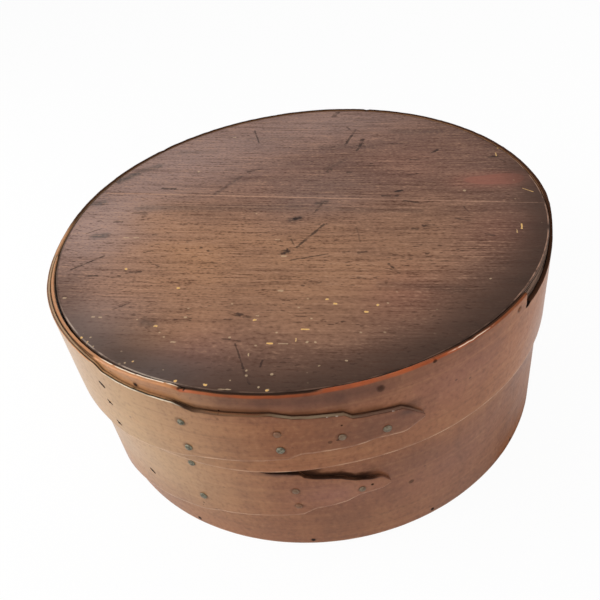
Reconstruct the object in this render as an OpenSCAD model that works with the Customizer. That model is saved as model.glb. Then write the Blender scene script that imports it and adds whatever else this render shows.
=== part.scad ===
// Round bentwood pantry box with a lift-off lid.
// Each wall is one thin strip, bent round once and lapped over itself, with a hand-cut finger end.
// The origin is at the centre of the underside, +Z is up and the lap faces -Y.

/* [Overall] */
// Outside diameter of the lid where its band is one layer thick
lid_d = 230; // [180:1:300]
// Height of the closed box
closed_h = 98; // [85:0.5:140]

/* [Bands] */
// Thickness of both bands
band_t = 1.6; // [1.2:0.1:2.4]
// Height of the lid band
lid_h = 42; // [32:0.5:50]
// Running gap between the box band and the lid band
lid_gap = 0.4; // [0.4:0.05:1]
// Gap between the two layers of a lap
lap_gap = 0.15; // [0.1:0.05:0.3]
// Bevel along the outer edges of both bands
edge_bevel = 0.4; // [0.2:0.05:0.5]

/* [Boards] */
// Thickness of the lid board
lid_board_t = 8; // [6:0.5:10]
// Thickness of the bottom board
bottom_board_t = 5.5; // [4:0.5:9]
// Height of the lid's rim above its board
rim_lip = 0.6; // [0.2:0.1:2]
// Gap between a board and the band around it
board_fit = 0.1; // [0.05:0.05:0.3]
// Worn bevel along the upper edge of a board
board_bevel = 0.6; // [0.3:0.1:1.5]

/* [Laps] */
// Angle of the feathered inner end of the lid band
lid_end = -177; // [-185:1:-170]
// Angle at which the lid's finger leaves the rim
lid_root = -147; // [-150:1:-140]
// Angle of the tip of the lid's finger
lid_tip = -72; // [-80:1:-60]
// Angle of the feathered inner end of the box band
box_end = -166; // [-172:1:-162]
// Angle at which the box's finger leaves the upper edge
box_root = -150; // [-154:1:-146]
// Angle of the tip of the box's finger
box_tip = -79; // [-86:1:-66]
// Angle over which the inner end of a band is pared thin
feather = 17; // [12:1:22]
// Angle over which the outer layer climbs ahead of the inner end
climb = 12; // [8:1:16]

/* [Broken rim] */
// Angle of the square end of the split that is gone from the lid's rim
split_from = -44; // [-60:1:-40]
// Angle up to which the split keeps its full depth
split_level = -28; // [-36:1:-20]
// Angle at which the split runs out
split_to = -6; // [-16:1:-2]
// Depth of the split
split_depth = 7; // [1:0.5:9]

/* [Fasteners] */
// Diameter of a copper tack's head
tack_d = 3.6; // [2.5:0.1:5]
// Height of a copper tack's domed head
tack_h = 0.8; // [0.5:0.1:1.2]
// Diameter of a copper tack's shank
shank_d = 1.4; // [1:0.1:2]
// Length of the tack point turned over inside the box
clinch_l = 3; // [2:0.5:5]
// Diameter of the iron seam nails
nail_d = 1.6; // [1:0.1:2]
// Diameter of the brads that hold the boards
brad_d = 1.5; // [1:0.1:2]
// Length of the brads that hold the boards
brad_l = 14; // [8:1:20]
// Number of brads around the bottom
bottom_brad_count = 13; // [8:1:18]
// Angle of the first brad of the bottom
bottom_brad_from = -124.5; // [-180:0.5:180]
// Gap between a nail and the wood around it
nail_fit = 0.04; // [0.02:0.01:0.08]
// Height of a nail or brad above the wood
nail_proud = 0.1; // [0.05:0.05:0.3]

/* [Hidden] */
$fn = 64;

// Angle between two stations of a band, along its plain length and along its finger
step_plain = 3;
step_finger = 1.5;
// Angle taken up by the square end of the split
split_edge = 0.4;
full_turn = 360;

lid_in_r = lid_d / 2 - band_t;
box_r = lid_in_r - lid_gap;
box_in_r = box_r - band_t;
layer = band_t + lap_gap;
box_h = closed_h - rim_lip - lid_board_t;
lid_z = closed_h - lid_h;
lid_board_z = box_h;

// Edges of the two fingers: share of the way from root to tip, share of the band's height
LID_UPPER = [[0, 1], [0.15, 0.96], [0.17, 0.9], [0.27, 0.865], [0.39, 0.845], [0.44, 0.785], [0.63, 0.8],
             [0.68, 0.75], [0.8, 0.715], [0.82, 0.655], [0.94, 0.61], [0.96, 0.56], [1, 0.43]];
LID_LOWER = [[0.15, 0], [0.375, 0.12], [0.415, 0.157], [0.55, 0.207], [0.65, 0.23], [0.69, 0.286],
             [0.81, 0.28], [0.875, 0.317], [0.95, 0.29], [1, 0.39]];
BOX_UPPER = [[0, 1], [0.17, 0.84], [0.31, 0.695], [0.45, 0.65], [0.65, 0.615], [0.75, 0.603], [0.76, 0.566],
             [0.79, 0.546], [0.86, 0.53], [0.9, 0.496], [0.94, 0.481], [0.975, 0.478], [1, 0.428]];
BOX_LOWER = [[-0.14, 0], [0.2, 0.135], [0.31, 0.17], [0.41, 0.195], [0.48, 0.227], [0.64, 0.264],
             [0.74, 0.282], [0.78, 0.322], [0.87, 0.351], [0.905, 0.381], [0.98, 0.394], [1, 0.412]];

// Tacks: share of the way from root to tip, share of the finger's width at that place
LID_TACKS = [[0.4, 0.68], [0.4, 0.19], [0.64, 0.62], [0.64, 0.25], [0.79, 0.38], [0.9, 0.34]];
BOX_TACKS = [[0.43, 0.82], [0.43, 0.255], [0.73, 0.61], [0.73, 0.24], [0.915, 0.4]];

// Seam nails: angle past the finger's root, share of the band's height
LID_SEAM = [[11, 0.69], [11, 0.44], [11, 0.135]];
BOX_SEAM = [[15.5, 0.302], [4, 0.526]];

// Angles of the brads around the lid board
LID_BRADS = [-126, -80, -47, 3, 48, 92, 139, 186];

// Smooth step from 0 to 1
function ramp(x) = let (u = min(max(x, 0), 1)) u * u * (3 - 2 * u);

// Rise and fall between four angles
function window(a, w) = ramp((a - w[0]) / (w[1] - w[0])) * (1 - ramp((a - w[2]) / (w[3] - w[2])));

// Angle folded into the turn that ends at +X and holds the laps
function folded(a) = a > 0 ? a - full_turn : a;

// Share of a layer by which a band stands out where it climbs over its inner end
function climbed(a, end) = ramp((a - end + climb) / (climb + feather));

function box_edge(outline, a) = box_h * lookup((a - box_root) / (box_tip - box_root), outline);
function lid_edge(outline, a) = lid_z + lid_h * lookup((a - lid_root) / (lid_tip - lid_root), outline);

// Last angle at which the box's finger reaches up under the lid
finger_hidden = max([for (a = [box_root : 1 : box_tip]) if (box_edge(BOX_UPPER, a) > lid_z) a]);

// The lid band swells over the box's lap: along its rim by the first angles, along its lower edge by the second
swell_run = 25;
swell_rim_from = box_root + climb;
swell_start = [box_end - 2 * climb, box_end + feather];
swell_rim = concat(swell_start, [swell_rim_from, swell_rim_from + swell_run]);
swell_skirt = concat(swell_start, [finger_hidden, finger_hidden + swell_run]);

function swell(a, z) =
    let (up = (z - lid_z) / lid_h)
    layer * (window(a, swell_skirt) * (1 - up) + window(a, swell_rim) * up);

// Depth of the split along the lid's rim
function split(a) =
    a < split_from ? 0 : split_depth * (1 - ramp((a - split_level) / (split_to - split_level)));

// Inner radius of a band's layers at an angle of the lap's own turn
function lid_inner(a, z) = lid_in_r + swell(a, z);
function lid_lap_inner(a, z) = lid_inner(a, z) + layer * climbed(a, lid_end);
function box_lap_inner(a) = box_in_r + layer * climbed(a, box_end);

// Angles of the stations along a band, from the inner end once round and on to the finger's tip
function run(from, to, step) = [for (a = [from : step : to - step / 2]) a];
function finger_run(root, tip) =
    concat(run(root + full_turn, tip + full_turn, step_finger), [tip + full_turn]);
box_stations = concat(run(box_end, box_root + full_turn, step_plain), finger_run(box_root, box_tip));
lid_stations = concat(
    run(lid_end, split_from - split_edge, step_plain),
    [split_from - split_edge],
    run(split_from, lid_root + full_turn, step_plain),
    finger_run(lid_root, lid_tip));

// Cross-section of a band at one station: inner radius below and above, thickness, lower and upper edge
function section(a, r_low, r_high, t, z_low, z_high) =
    let (b = min(edge_bevel, t / 3, (z_high - z_low) / 3))
    let (lean = (r_high - r_low) / (z_high - z_low) * b)
    [for (p = [[r_low, z_low], [r_low + t - b, z_low], [r_low + t + lean, z_low + b],
               [r_high + t - lean, z_high - b], [r_high + t - b, z_high], [r_high, z_high]])
        [p[0] * cos(a), p[0] * sin(a), p[1]]];

// Thickness of a band, pared thin towards its inner end
function thickness(a, end) = a < end + feather ? band_t * climbed(a, end) : band_t;

function box_section(a) =
    let (f = a - full_turn, r = box_lap_inner(f))
    a < box_end + full_turn
    ? section(a, r, r, thickness(a, box_end), 0, box_h)
    : section(a, r, r, band_t, box_edge(BOX_LOWER, f), box_edge(BOX_UPPER, f));

function lid_section(a) =
    let (f = folded(a), out = layer * climbed(a - full_turn, lid_end), single = a < lid_end + full_turn)
    let (low = single ? lid_z : lid_edge(LID_LOWER, f))
    let (high = single ? closed_h - split(a) : lid_edge(LID_UPPER, f))
    section(a, lid_inner(f, low) + out, lid_inner(f, high) + out, thickness(a, lid_end), low, high);

// Closed strip through a list of cross-sections
module strip(sections) {
    n = len(sections);
    k = len(sections[0]);
    sides = [for (i = [0 : n - 2], j = [0 : k - 1])
        let (p = i * k + j, q = i * k + (j + 1) % k)
        each [[p, q, q + k], [p, q + k, p + k]]];
    start_cap = [for (j = [1 : k - 2]) [0, j + 1, j]];
    end_cap = [for (j = [1 : k - 2]) let (e = (n - 1) * k) [e, e + j, e + j + 1]];
    polyhedron(points = [for (s = sections) each s], faces = concat(sides, start_cap, end_cap));
}

// Place things on a band: their own +Z points straight out along a radius
module radial(a, r, z) {
    rotate([0, 0, a]) translate([r, 0, z]) rotate([0, 90, 0]) children();
}

// The same on the lid's lap, square to its wall, which leans and turns where it swells
module square_to_lap(a, z) {
    aside = 1;
    r = lid_lap_inner(a, z);
    lean = atan((swell(a, closed_h) - swell(a, lid_z)) / lid_h);
    turn = atan((lid_lap_inner(a + aside, z) - lid_lap_inner(a - aside, z)) / (2 * r * sin(aside)));
    rotate([0, 0, a]) translate([r, 0, z]) rotate([0, 0, -turn]) rotate([0, 90 + lean, 0]) children();
}

module domed_head() {
    dome_r = (pow(tack_d / 2, 2) + pow(tack_h, 2)) / (2 * tack_h);
    intersection() {
        translate([0, 0, tack_h - dome_r]) sphere(r = dome_r);
        cylinder(d = 2 * tack_d, h = 2 * tack_h);
    }
}

// Tack whose head rests on the wall, with its shank through the given depth of wood
module tack(depth) {
    domed_head();
    translate([0, 0, -depth]) cylinder(d = shank_d, h = depth + tack_h / 2);
}

// Straight nail or brad of the given length, its end just above the wood
module nail(d, l) {
    translate([0, 0, nail_proud - l]) cylinder(d = d, h = l);
}

// Drill through a wall for a shank of the given diameter
module drill(d, depth) {
    translate([0, 0, -depth]) cylinder(d = d + 2 * nail_fit, h = 2 * depth);
}

// Places of the fasteners, each with its angle and height
function finger_places(tacks, root, tip) = [for (t = tacks) [root + t[0] * (tip - root), t[1]]];
function between(low, high, share) = low + share * (high - low);
lid_tack_places = [for (t = finger_places(LID_TACKS, lid_root, lid_tip))
    [t[0], between(lid_edge(LID_LOWER, t[0]), lid_edge(LID_UPPER, t[0]), t[1])]];
box_tack_places = [for (t = finger_places(BOX_TACKS, box_root, box_tip))
    [t[0], between(box_edge(BOX_LOWER, t[0]), box_edge(BOX_UPPER, t[0]), t[1])]];
lid_seam_places = [for (s = LID_SEAM) [lid_root + s[0], lid_z + s[1] * lid_h]];
box_seam_places = [for (s = BOX_SEAM) [box_root + s[0], s[1] * box_h]];
lid_brad_z = lid_board_z + lid_board_t / 2;
bottom_brad_z = bottom_board_t / 2;
bottom_brad_angles = [for (i = [0 : bottom_brad_count - 1]) bottom_brad_from + i * full_turn / bottom_brad_count];

// Depth that reaches from the outside of a lap to its inside
lap_depth = layer + band_t;
drill_depth = 3 * layer;

// Outer radius of the layer that a brad goes through
function lid_brad_r(a) =
    let (f = folded(a))
    lid_inner(f, lid_brad_z) + band_t
    + (f < lid_end || lid_edge(LID_UPPER, f) > lid_brad_z ? layer * climbed(f, lid_end) : 0);
function bottom_brad_r(a) =
    let (f = folded(a))
    box_r + (f < box_end || box_edge(BOX_LOWER, f) < bottom_brad_z ? layer * climbed(f, box_end) : 0);

module board(r, t) {
    rotate_extrude()
        polygon([[0, 0], [r, 0], [r, t - board_bevel], [r - board_bevel, t], [0, t]]);
}

module bottom_board() {
    color("tan") difference() {
        board(box_in_r - board_fit, bottom_board_t);
        for (a = bottom_brad_angles)
            radial(a, bottom_brad_r(a), bottom_brad_z) drill(brad_d, brad_l);
    }
}

module box_band() {
    color("peru") difference() {
        strip([for (a = box_stations) box_section(a)]);
        for (p = box_tack_places)
            radial(p[0], box_lap_inner(p[0]), p[1]) drill(shank_d, drill_depth);
        for (p = box_seam_places)
            radial(p[0], box_lap_inner(p[0]), p[1]) drill(nail_d, drill_depth);
        for (a = bottom_brad_angles)
            radial(a, bottom_brad_r(a), bottom_brad_z) drill(brad_d, drill_depth);
    }
}

// The points of these tacks are turned over upwards against the inside of the wall
module box_lap_tacks() {
    color("darkseagreen")
        for (p = box_tack_places)
            radial(p[0], box_lap_inner(p[0]) + band_t, p[1]) {
                reach = box_lap_inner(p[0]) + band_t - box_in_r + shank_d / 2 + lap_gap;
                tack(reach);
                translate([0, 0, -reach]) rotate([0, -90, 0]) cylinder(d = shank_d, h = clinch_l);
                translate([0, 0, -reach]) sphere(d = shank_d);
            }
}

module box_seam_nails() {
    color("dimgray")
        for (p = box_seam_places)
            radial(p[0], box_lap_inner(p[0]) + band_t, p[1]) nail(nail_d, lap_depth);
}

module bottom_brads() {
    color("dimgray")
        for (a = bottom_brad_angles)
            radial(a, bottom_brad_r(a), bottom_brad_z) nail(brad_d, brad_l);
}

module lid_board() {
    color("sienna") difference() {
        translate([0, 0, lid_board_z]) board(lid_in_r - board_fit, lid_board_t);
        for (a = LID_BRADS)
            radial(a, lid_brad_r(a), lid_brad_z) drill(brad_d, brad_l);
    }
}

module lid_band() {
    color("saddlebrown") difference() {
        strip([for (a = lid_stations) lid_section(a)]);
        for (p = lid_tack_places)
            square_to_lap(p[0], p[1]) drill(shank_d, drill_depth);
        for (p = lid_seam_places)
            square_to_lap(p[0], p[1]) drill(nail_d, drill_depth);
        for (a = LID_BRADS)
            radial(a, lid_brad_r(a), lid_brad_z) drill(brad_d, drill_depth);
    }
}

// The points of these tacks are hammered flush, because the box slides past them
module lid_lap_tacks() {
    color("darkseagreen")
        for (p = lid_tack_places)
            square_to_lap(p[0], p[1]) translate([0, 0, band_t + nail_fit]) tack(lap_depth);
}

module lid_seam_nails() {
    color("dimgray")
        for (p = lid_seam_places)
            square_to_lap(p[0], p[1]) translate([0, 0, band_t]) nail(nail_d, lap_depth);
}

module lid_brads() {
    color("dimgray")
        for (a = LID_BRADS)
            radial(a, lid_brad_r(a), lid_brad_z) nail(brad_d, brad_l);
}

bottom_board();
box_band();
box_lap_tacks();
box_seam_nails();
bottom_brads();
lid_board();
lid_band();
lid_lap_tacks();
lid_seam_nails();
lid_brads();
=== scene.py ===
# Looks of a round bentwood pantry box with a lift-off lid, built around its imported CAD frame.
# Lengths here are millimetres and angles are degrees from +X, until a mesh is made in metres.

import math
from functools import partial, reduce

import bpy
import numpy as np
from mathutils import Matrix, Vector


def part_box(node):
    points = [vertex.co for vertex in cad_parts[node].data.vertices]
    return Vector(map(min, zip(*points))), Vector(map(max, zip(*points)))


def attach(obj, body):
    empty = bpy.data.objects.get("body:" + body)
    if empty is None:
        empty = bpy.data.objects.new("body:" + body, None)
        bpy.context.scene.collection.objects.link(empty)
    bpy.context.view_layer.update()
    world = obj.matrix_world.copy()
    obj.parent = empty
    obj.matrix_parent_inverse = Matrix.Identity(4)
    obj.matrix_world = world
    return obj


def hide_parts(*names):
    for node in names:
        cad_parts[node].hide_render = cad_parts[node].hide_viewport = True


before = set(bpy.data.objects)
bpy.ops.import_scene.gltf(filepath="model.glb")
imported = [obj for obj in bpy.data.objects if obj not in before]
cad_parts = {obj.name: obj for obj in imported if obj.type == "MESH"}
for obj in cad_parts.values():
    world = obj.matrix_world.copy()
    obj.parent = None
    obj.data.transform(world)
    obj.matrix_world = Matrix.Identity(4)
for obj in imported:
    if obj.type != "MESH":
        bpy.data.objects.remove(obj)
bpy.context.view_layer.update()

MM = 0.001
FULL_TURN = 360

# Sizes of the bands and their laps, as in the CAD source
BAND_T = 1.6
LAP_GAP = 0.15
LAYER = BAND_T + LAP_GAP
BOARD_FIT = 0.1
LID_END, LID_ROOT, LID_TIP = -177, -147, -72
BOX_END, BOX_ROOT, BOX_TIP = -166, -150, -79
FEATHER = 17
CLIMB = 12
SPLIT_FROM, SPLIT_LEVEL, SPLIT_TO, SPLIT_DEPTH = -44, -28, -6, 7
SWELL_RIM = (-190, -149, -138, -113)
SWELL_SKIRT = (-190, -149, -109, -84)

# Sizes that the frame gives
LID_IN_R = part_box("lid_board")[1].x / MM + BOARD_FIT
BOX_IN_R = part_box("bottom_board")[1].x / MM + BOARD_FIT
BOX_R = BOX_IN_R + BAND_T
BOX_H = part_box("box_band")[1].z / MM
LID_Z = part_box("lid_band")[0].z / MM
CLOSED_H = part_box("lid_band")[1].z / MM
LID_H = CLOSED_H - LID_Z
LID_BOARD_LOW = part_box("lid_board")[0].z / MM
LID_BOARD_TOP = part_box("lid_board")[1].z / MM
BOTTOM_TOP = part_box("bottom_board")[1].z / MM

# Edges of the two fingers: share of the way from root to tip, share of the band's height
LID_UPPER = [
    (0, 1), (0.15, 0.96), (0.17, 0.9), (0.27, 0.865), (0.39, 0.845), (0.44, 0.785), (0.63, 0.8),
    (0.68, 0.75), (0.8, 0.715), (0.82, 0.655), (0.94, 0.61), (0.96, 0.56), (1, 0.43)]
LID_LOWER = [
    (0.15, 0), (0.375, 0.12), (0.415, 0.157), (0.55, 0.207), (0.65, 0.23), (0.69, 0.286), (0.81, 0.28),
    (0.875, 0.317), (0.95, 0.29), (1, 0.39)]
BOX_UPPER = [
    (0, 1), (0.17, 0.84), (0.31, 0.695), (0.45, 0.65), (0.6, 0.615), (0.67, 0.592), (0.75, 0.586),
    (0.76, 0.562), (0.79, 0.546), (0.86, 0.53), (0.9, 0.496), (0.94, 0.481), (0.975, 0.478), (1, 0.428)]
BOX_LOWER = [
    (-0.14, 0), (0.2, 0.135), (0.31, 0.17), (0.41, 0.195), (0.48, 0.227), (0.64, 0.264), (0.74, 0.282),
    (0.78, 0.322), (0.87, 0.351), (0.905, 0.381), (0.98, 0.394), (1, 0.412)]

# Tacks: share of the way from root to tip and of the finger's width, size of the head, dirt that hides it
LID_TACKS = [
    (0.4, 0.68, 0.8, 0), (0.4, 0.19, 0.9, 0), (0.64, 0.62, 0.8, 0.85), (0.64, 0.25, 0.95, 0.1),
    (0.79, 0.38, 0.85, 0.5), (0.9, 0.34, 0.95, 0.25)]
BOX_TACKS = [
    (0.43, 0.82, 0.92, 0), (0.43, 0.255, 0.95, 0), (0.73, 0.61, 0.85, 0.6), (0.73, 0.24, 0.8, 0.85),
    (0.915, 0.4, 0.8, 0.4)]

# Seam nails: angle past the finger's root, share of the band's height
LID_SEAM = [(11, 0.69), (11, 0.44), (11, 0.135)]
BOX_SEAM = [(15.5, 0.302), (4, 0.526)]

# Brads: angle, dirt that hides the head
LID_BRADS = [(-126, 0), (-80, 0.2), (-47, 0.9), (3, 0.4), (48, 0), (92, 0.3), (139, 0.1), (186, 0)]
BOTTOM_BRAD_COUNT, BOTTOM_BRAD_FIRST = 13, -124.5
BOTTOM_BRADS = [
    (BOTTOM_BRAD_FIRST + i * FULL_TURN / BOTTOM_BRAD_COUNT, 0) for i in range(BOTTOM_BRAD_COUNT)]
LID_BRAD_Z = (LID_BOARD_LOW + LID_BOARD_TOP) / 2
BOTTOM_BRAD_Z = BOTTOM_TOP / 2

# Heads and shanks
TACK_D, TACK_H, SHANK_D, CLINCH_L = 3.5, 0.72, 1.4, 3
SEAM_HEAD_D, BRAD_HEAD_D, NAIL_H, NAIL_L, BRAD_L = 1.9, 1.6, 0.1, 3, 9

# Chips along the lid's rim: angle, half width in degrees, depth
RIM_CHIPS = [
    (-116, 1.1, 0.8), (-91, 0.5, 0.3), (-61, 0.5, 0.4), (-147.5, 0.8, 0.3), (-20, 0.8, 0.3), (64, 0.7, 0.4),
    (128, 1, 0.35)]

# Stretch of the rim that is worn down to the board: four angles, depth
RIM_LOW, RIM_LOW_DEPTH = (-116.6, -115.6, -92, -90.5), 0.45

# Small holes, a notch in the rim and spots in the bands, painted dark with the shade inside the holes and
# the notch: angle, height, radius, strength
LID_SPOTS = [
    (-69.5, 97, 0.8, 0.8), (-116.2, 97.6, 0.8, 0.95), (-115.2, 97.4, 0.6, 0.9), (-90, 73, 0.7, 0.5),
    (-88.6, 73.4, 0.5, 0.5), (-87.6, 81, 0.45, 0.8), (-109, 89.6, 0.45, 0.95), (-109.2, 87, 0.5, 0.3)]
BOX_SPOTS = [
    (-82.9, 39.3, 0.7, 0.9), (-74.3, 29.8, 1.2, 0.6), (-120.2, 22.5, 0.4, 0.6), (-120.6, 20.5, 0.4, 0.6)]

# Crack at the split's end, painted dark with the shade inside it: angle, height, radius, strength, and its
# half length and half drop
LID_CRACK, CRACK_RUN, CRACK_DROP = (-43.3, 91.1, 1.2, 1), 0.7, 0.1

# Soft zones of the bands: angle, height, reach along and up, strength
LID_DARK = [
    (-100, 95, 28, 4.5, 0.7), (-86, 94, 22, 5, 0.75), (-81, 75, 16, 9, 0.35), (-75, 79, 5, 2.4, 0.9),
    (-64, 97, 20, 2.5, 0.3), (-108, 75, 10, 7, 0.13)]
LID_RED = [(-66, 82, 30, 16, 0.6), (-92, 93, 30, 5, 0.5)]
# The box's first dark zone is a painted shadow under the lid's lower edge; the others are darker patches
BOX_DARK_AND_SHADOW = [
    (-101, 52.6, 9, 1.2, 1), (-89, 13, 26, 10, 0.3), (-72, 44, 20, 6, 0.25), (-46, 22, 46, 34, 0.27)]
BOX_RED = [(-90, 37, 16, 8, 0.8), (-62, 30, 40, 20, 0.4)]

# Warmer stretch of the lid's wall: four angles. Warm strip above its finger: the same, two heights
LID_WARM = (-64, -44, 0, 60)
STRIP_WARM, STRIP_RISE = (-165, -152, -122, -112), (86, 89)

# Wear of the lid's rim: four angles each where it is orange, orange right across, less orange and tan
RIM_ORANGE, RIM_ORANGE_WIDE = (-118, -116, -45, -44), (-92, -89, -76, -64)
RIM_ORANGE_LESS, RIM_TAN = (-115, -112, -93, -89), (-194, -182, -118, -116)
ORANGE_FADE, ORANGE_LESS_BY, ORANGE_FADE_BY, CREVICE_BY = (-64, -56), 0.35, 0.55, 0.95

# Shares of the rim's depth: start of its outer half, start of the crevice's painted shade, end of the inner
# painted highlight
RIM_OUTER, RIM_CREVICE, HIGHLIGHT_INNER = (0.45, 0.7), (0.6, 0.8), (0.25, 0.4)

# Tan and dark share of the box's upper edge
BOX_RIM_TAN, BOX_RIM_DARK = 0.6, 0.3

# Painted highlight on the rim: four angles each. Angle up to which it lies inside, four shares of depth
# beyond
RIM_PAINTED_HIGHLIGHTS = [(-136, -133, -117.5, -116.5), (-67, -64, -59, -55)]
HIGHLIGHT_INSIDE_TO, HIGHLIGHT_OUTSIDE = -100, (0.7, 0.8, 0.9, 0.97)

# Angle up to which the rim is double, with painted shade in the crevice between its layers
RIM_DOUBLED = -136

# Scratches, cracks and dents in the lid board: x, y of both ends, width, strength
SCRATCHES = [
    (13, 6, 8, -2, 1.2, 0.6), (-1, -4, 1, -3.5, 2, 1), (12, -12, -2, -27, 1.3, 0.8),
    (8, -11, 13, -12, 1.2, 0.9), (-8, -29.5, -6, -29, 3.4, 1), (11, -35.5, -5, -36, 0.8, 0.8),
    (-4, -20, -3, -25, 0.8, 0.6), (-29, -67, -27, -68, 2, 0.8), (-26, -69, -24, -70, 1.5, 0.6),
    (-30, -84, -27, -98, 0.7, 0.7), (-27, -99, -25, -106, 0.8, 0.5), (-35, -80, -28, -83, 0.7, 0.6),
    (-20, -95, -21, -98, 0.8, 0.7), (26, -18, 26, -30, 0.8, 0.4), (-52, -9, -46, -9, 0.8, 0.6),
    (-105, -18, -91, -11, 1, 0.9), (-103, 11, -95, 14, 0.9, 0.7), (-68, 45, -61, 42.5, 1.4, 0.8),
    (-81, 24, -74, 22, 1.6, 0.6), (-90, 18, -86, 17, 1.3, 0.9), (-97, -25, -92, -26, 1, 0.9),
    (-85, -29, -81, -29, 0.9, 0.7), (-77, -27, -72, -28, 1.2, 0.7), (-69, 1, -67, 0.5, 1.6, 0.6),
    (-72, -13, -67, -12, 0.8, 0.6), (-69, -21, -64, -26, 0.8, 0.6), (-17, 98, -15, 81, 0.9, 0.8),
    (-22, 49, -16, 50, 1.8, 0.6), (34, 106, 30, 101, 2.2, 0.7), (40, 79, 32, 63, 1.4, 0.8),
    (36, 84, 38, 77, 1, 0.7), (42, 66, 40, 60, 2, 0.9), (40, 60, 37, 54, 1.2, 0.8),
    (79, 43, 75, 40, 1.8, 0.9), (56, 56, 65, 54, 1, 0.6), (62, 36, 71, 34, 1.1, 0.6),
    (19, 36, 21, 38, 2, 0.6), (29, 32, 31, 32, 1.6, 0.7), (42, 5, 49, 3, 1.3, 0.8), (49, 7, 52, 7, 1.6, 1),
    (51, -2, 59, -7, 1, 0.8), (76, -15, 77, -20, 0.8, 0.7), (82, -21, 85, -20, 1, 0.8),
    (70, -23, 76, -27, 1.1, 0.7), (55, -25, 59, -25.5, 1.7, 0.8), (50, -26, 52, -27, 1.4, 0.7),
    (35, -49, 38, -56, 1, 0.8), (18, -36, 20, -36, 1.4, 0.7), (24, -38, 27, -38, 1.5, 0.6),
    (21, -55, 24, -56, 1.3, 0.6), (79, -38, 82, -40, 1, 0.6), (100, 26, 104, 26, 1.4, 0.8),
    (-81, -52, -74, -49, 1, 0.7)]

# Broad soft stains on the lid board, in the same order
STAINS = [
    (-78, 28, 2, 6, 5.5, 0.4), (2, 5, 56, -13, 3.4, 0.3), (11, 7, 15, 7, 3.2, 0.8),
    (-98, 7.5, -93, 6.5, 4.4, 0.75), (-105, 40, -99, 39, 4.5, 0.7), (-93, 60.5, -84, 66, 5, 0.85),
    (-83, 68, -72, 71, 5, 0.6), (-26, 45, -41, 29, 2, 0.5), (-3, -4.5, 1, -3.5, 3.4, 0.7),
    (-67, -63, -64, -65, 4, 0.5), (16, 38, 30, 46, 3, 0.3), (-20, 88, 8, 80, 5, 0.25),
    (30, -62, 60, -72, 5, 0.3), (60, 70, 84, 62, 5, 0.3), (-60, 84, -40, 78, 4, 0.3),
    (20, 64, 46, 56, 5, 0.3)]

# Pale flecks where the lid board's varnish has come off: x, y, length along the grain, width
BRIGHT_FLECKS = [
    (7, -66, 1.6, 1.2), (10, -69.4, 2, 1.1), (21, -77, 1.8, 1.2), (-22, -72, 1.8, 1.3),
    (-17, -86.6, 2.7, 0.8), (-3, -81.7, 3.5, 0.7), (-41, -103, 1.8, 1.1), (-19, -110, 1.4, 1.4),
    (26, -74, 1.4, 1.4), (-79, -24, 1.8, 1.6), (-54, -44, 2, 1.3), (-62, -66.7, 2.1, 1.2),
    (-92, -67, 1.3, 1.4), (-69, -85.4, 1, 1.1), (-52, -99, 1.3, 1.2), (107, 34, 1.5, 1.4)]
FAINT_FLECKS = [
    (-12, -87.8, 3.8, 0.5), (-14, -81, 1.2, 1), (-26, -101.5, 1.1, 1.2), (-26, -99, 1, 1),
    (-22, -108, 1, 0.9), (-34, -106.7, 5, 0.6), (-50, -64, 1.7, 1), (-49, -58.7, 1.1, 0.8),
    (-19, 6, 1, 0.9), (-10, -19, 2.3, 0.8), (-8, -32.2, 2.8, 1.3), (-11, -56, 2.4, 1.4),
    (-3, -88.8, 1.1, 1.1), (0, -89.5, 1, 1), (-32, -80, 1.2, 1), (-21, -69.7, 1.5, 0.7),
    (-31, -60, 1.1, 0.8), (-17, -102.7, 1, 1), (0, -102, 1, 0.9), (10, -101.4, 1.1, 0.7),
    (-32, -102.7, 1, 1), (-104, -39, 1.9, 1.2), (-82, 2, 3, 0.7), (-77, 0.6, 3, 0.6), (-49, 57.6, 1.4, 1.4),
    (-29, 93, 2.2, 1.2), (80, -1.3, 1.3, 1.4), (72, -68, 1, 1.1), (-54, -77.8, 2.6, 0.9),
    (-58, -74, 1.2, 0.9), (-60, -71, 1, 0.8), (-89, -55, 1.8, 0.8), (-86, -56, 2, 1),
    (-88, -67.7, 0.8, 0.8), (-86, -73.4, 0.8, 0.8), (-72, -85.4, 0.9, 0.9), (-70, -61, 1, 1)]
BRIGHT, FAINT = 1, 0.5

# Flecks across the grain: x, y of both ends, width, strength
CROSS_FLECKS = [
    (94.6, -38, 95.6, -34.8, 0.8, 1), (91.8, -40.5, 92.3, -38.4, 0.6, 0.7),
    (103.8, 26.6, 104.3, 29.4, 0.8, 0.8), (-7.2, -87.6, -6.9, -86, 0.6, 0.7),
    (-89.3, -71.5, -88.8, -70, 0.7, 0.7), (-25.1, -91.6, -25, -90.4, 0.6, 0.6),
    (105.6, -6.8, 109, -11, 0.5, 0.8)]

# Pale lines along the grain: x, y of both ends, width, strength
PALE_LINES = [(-98, 49, 112, -22, 0.7, 0.9), (-92, 36, 20, -1, 0.6, 0.5)]

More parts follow.
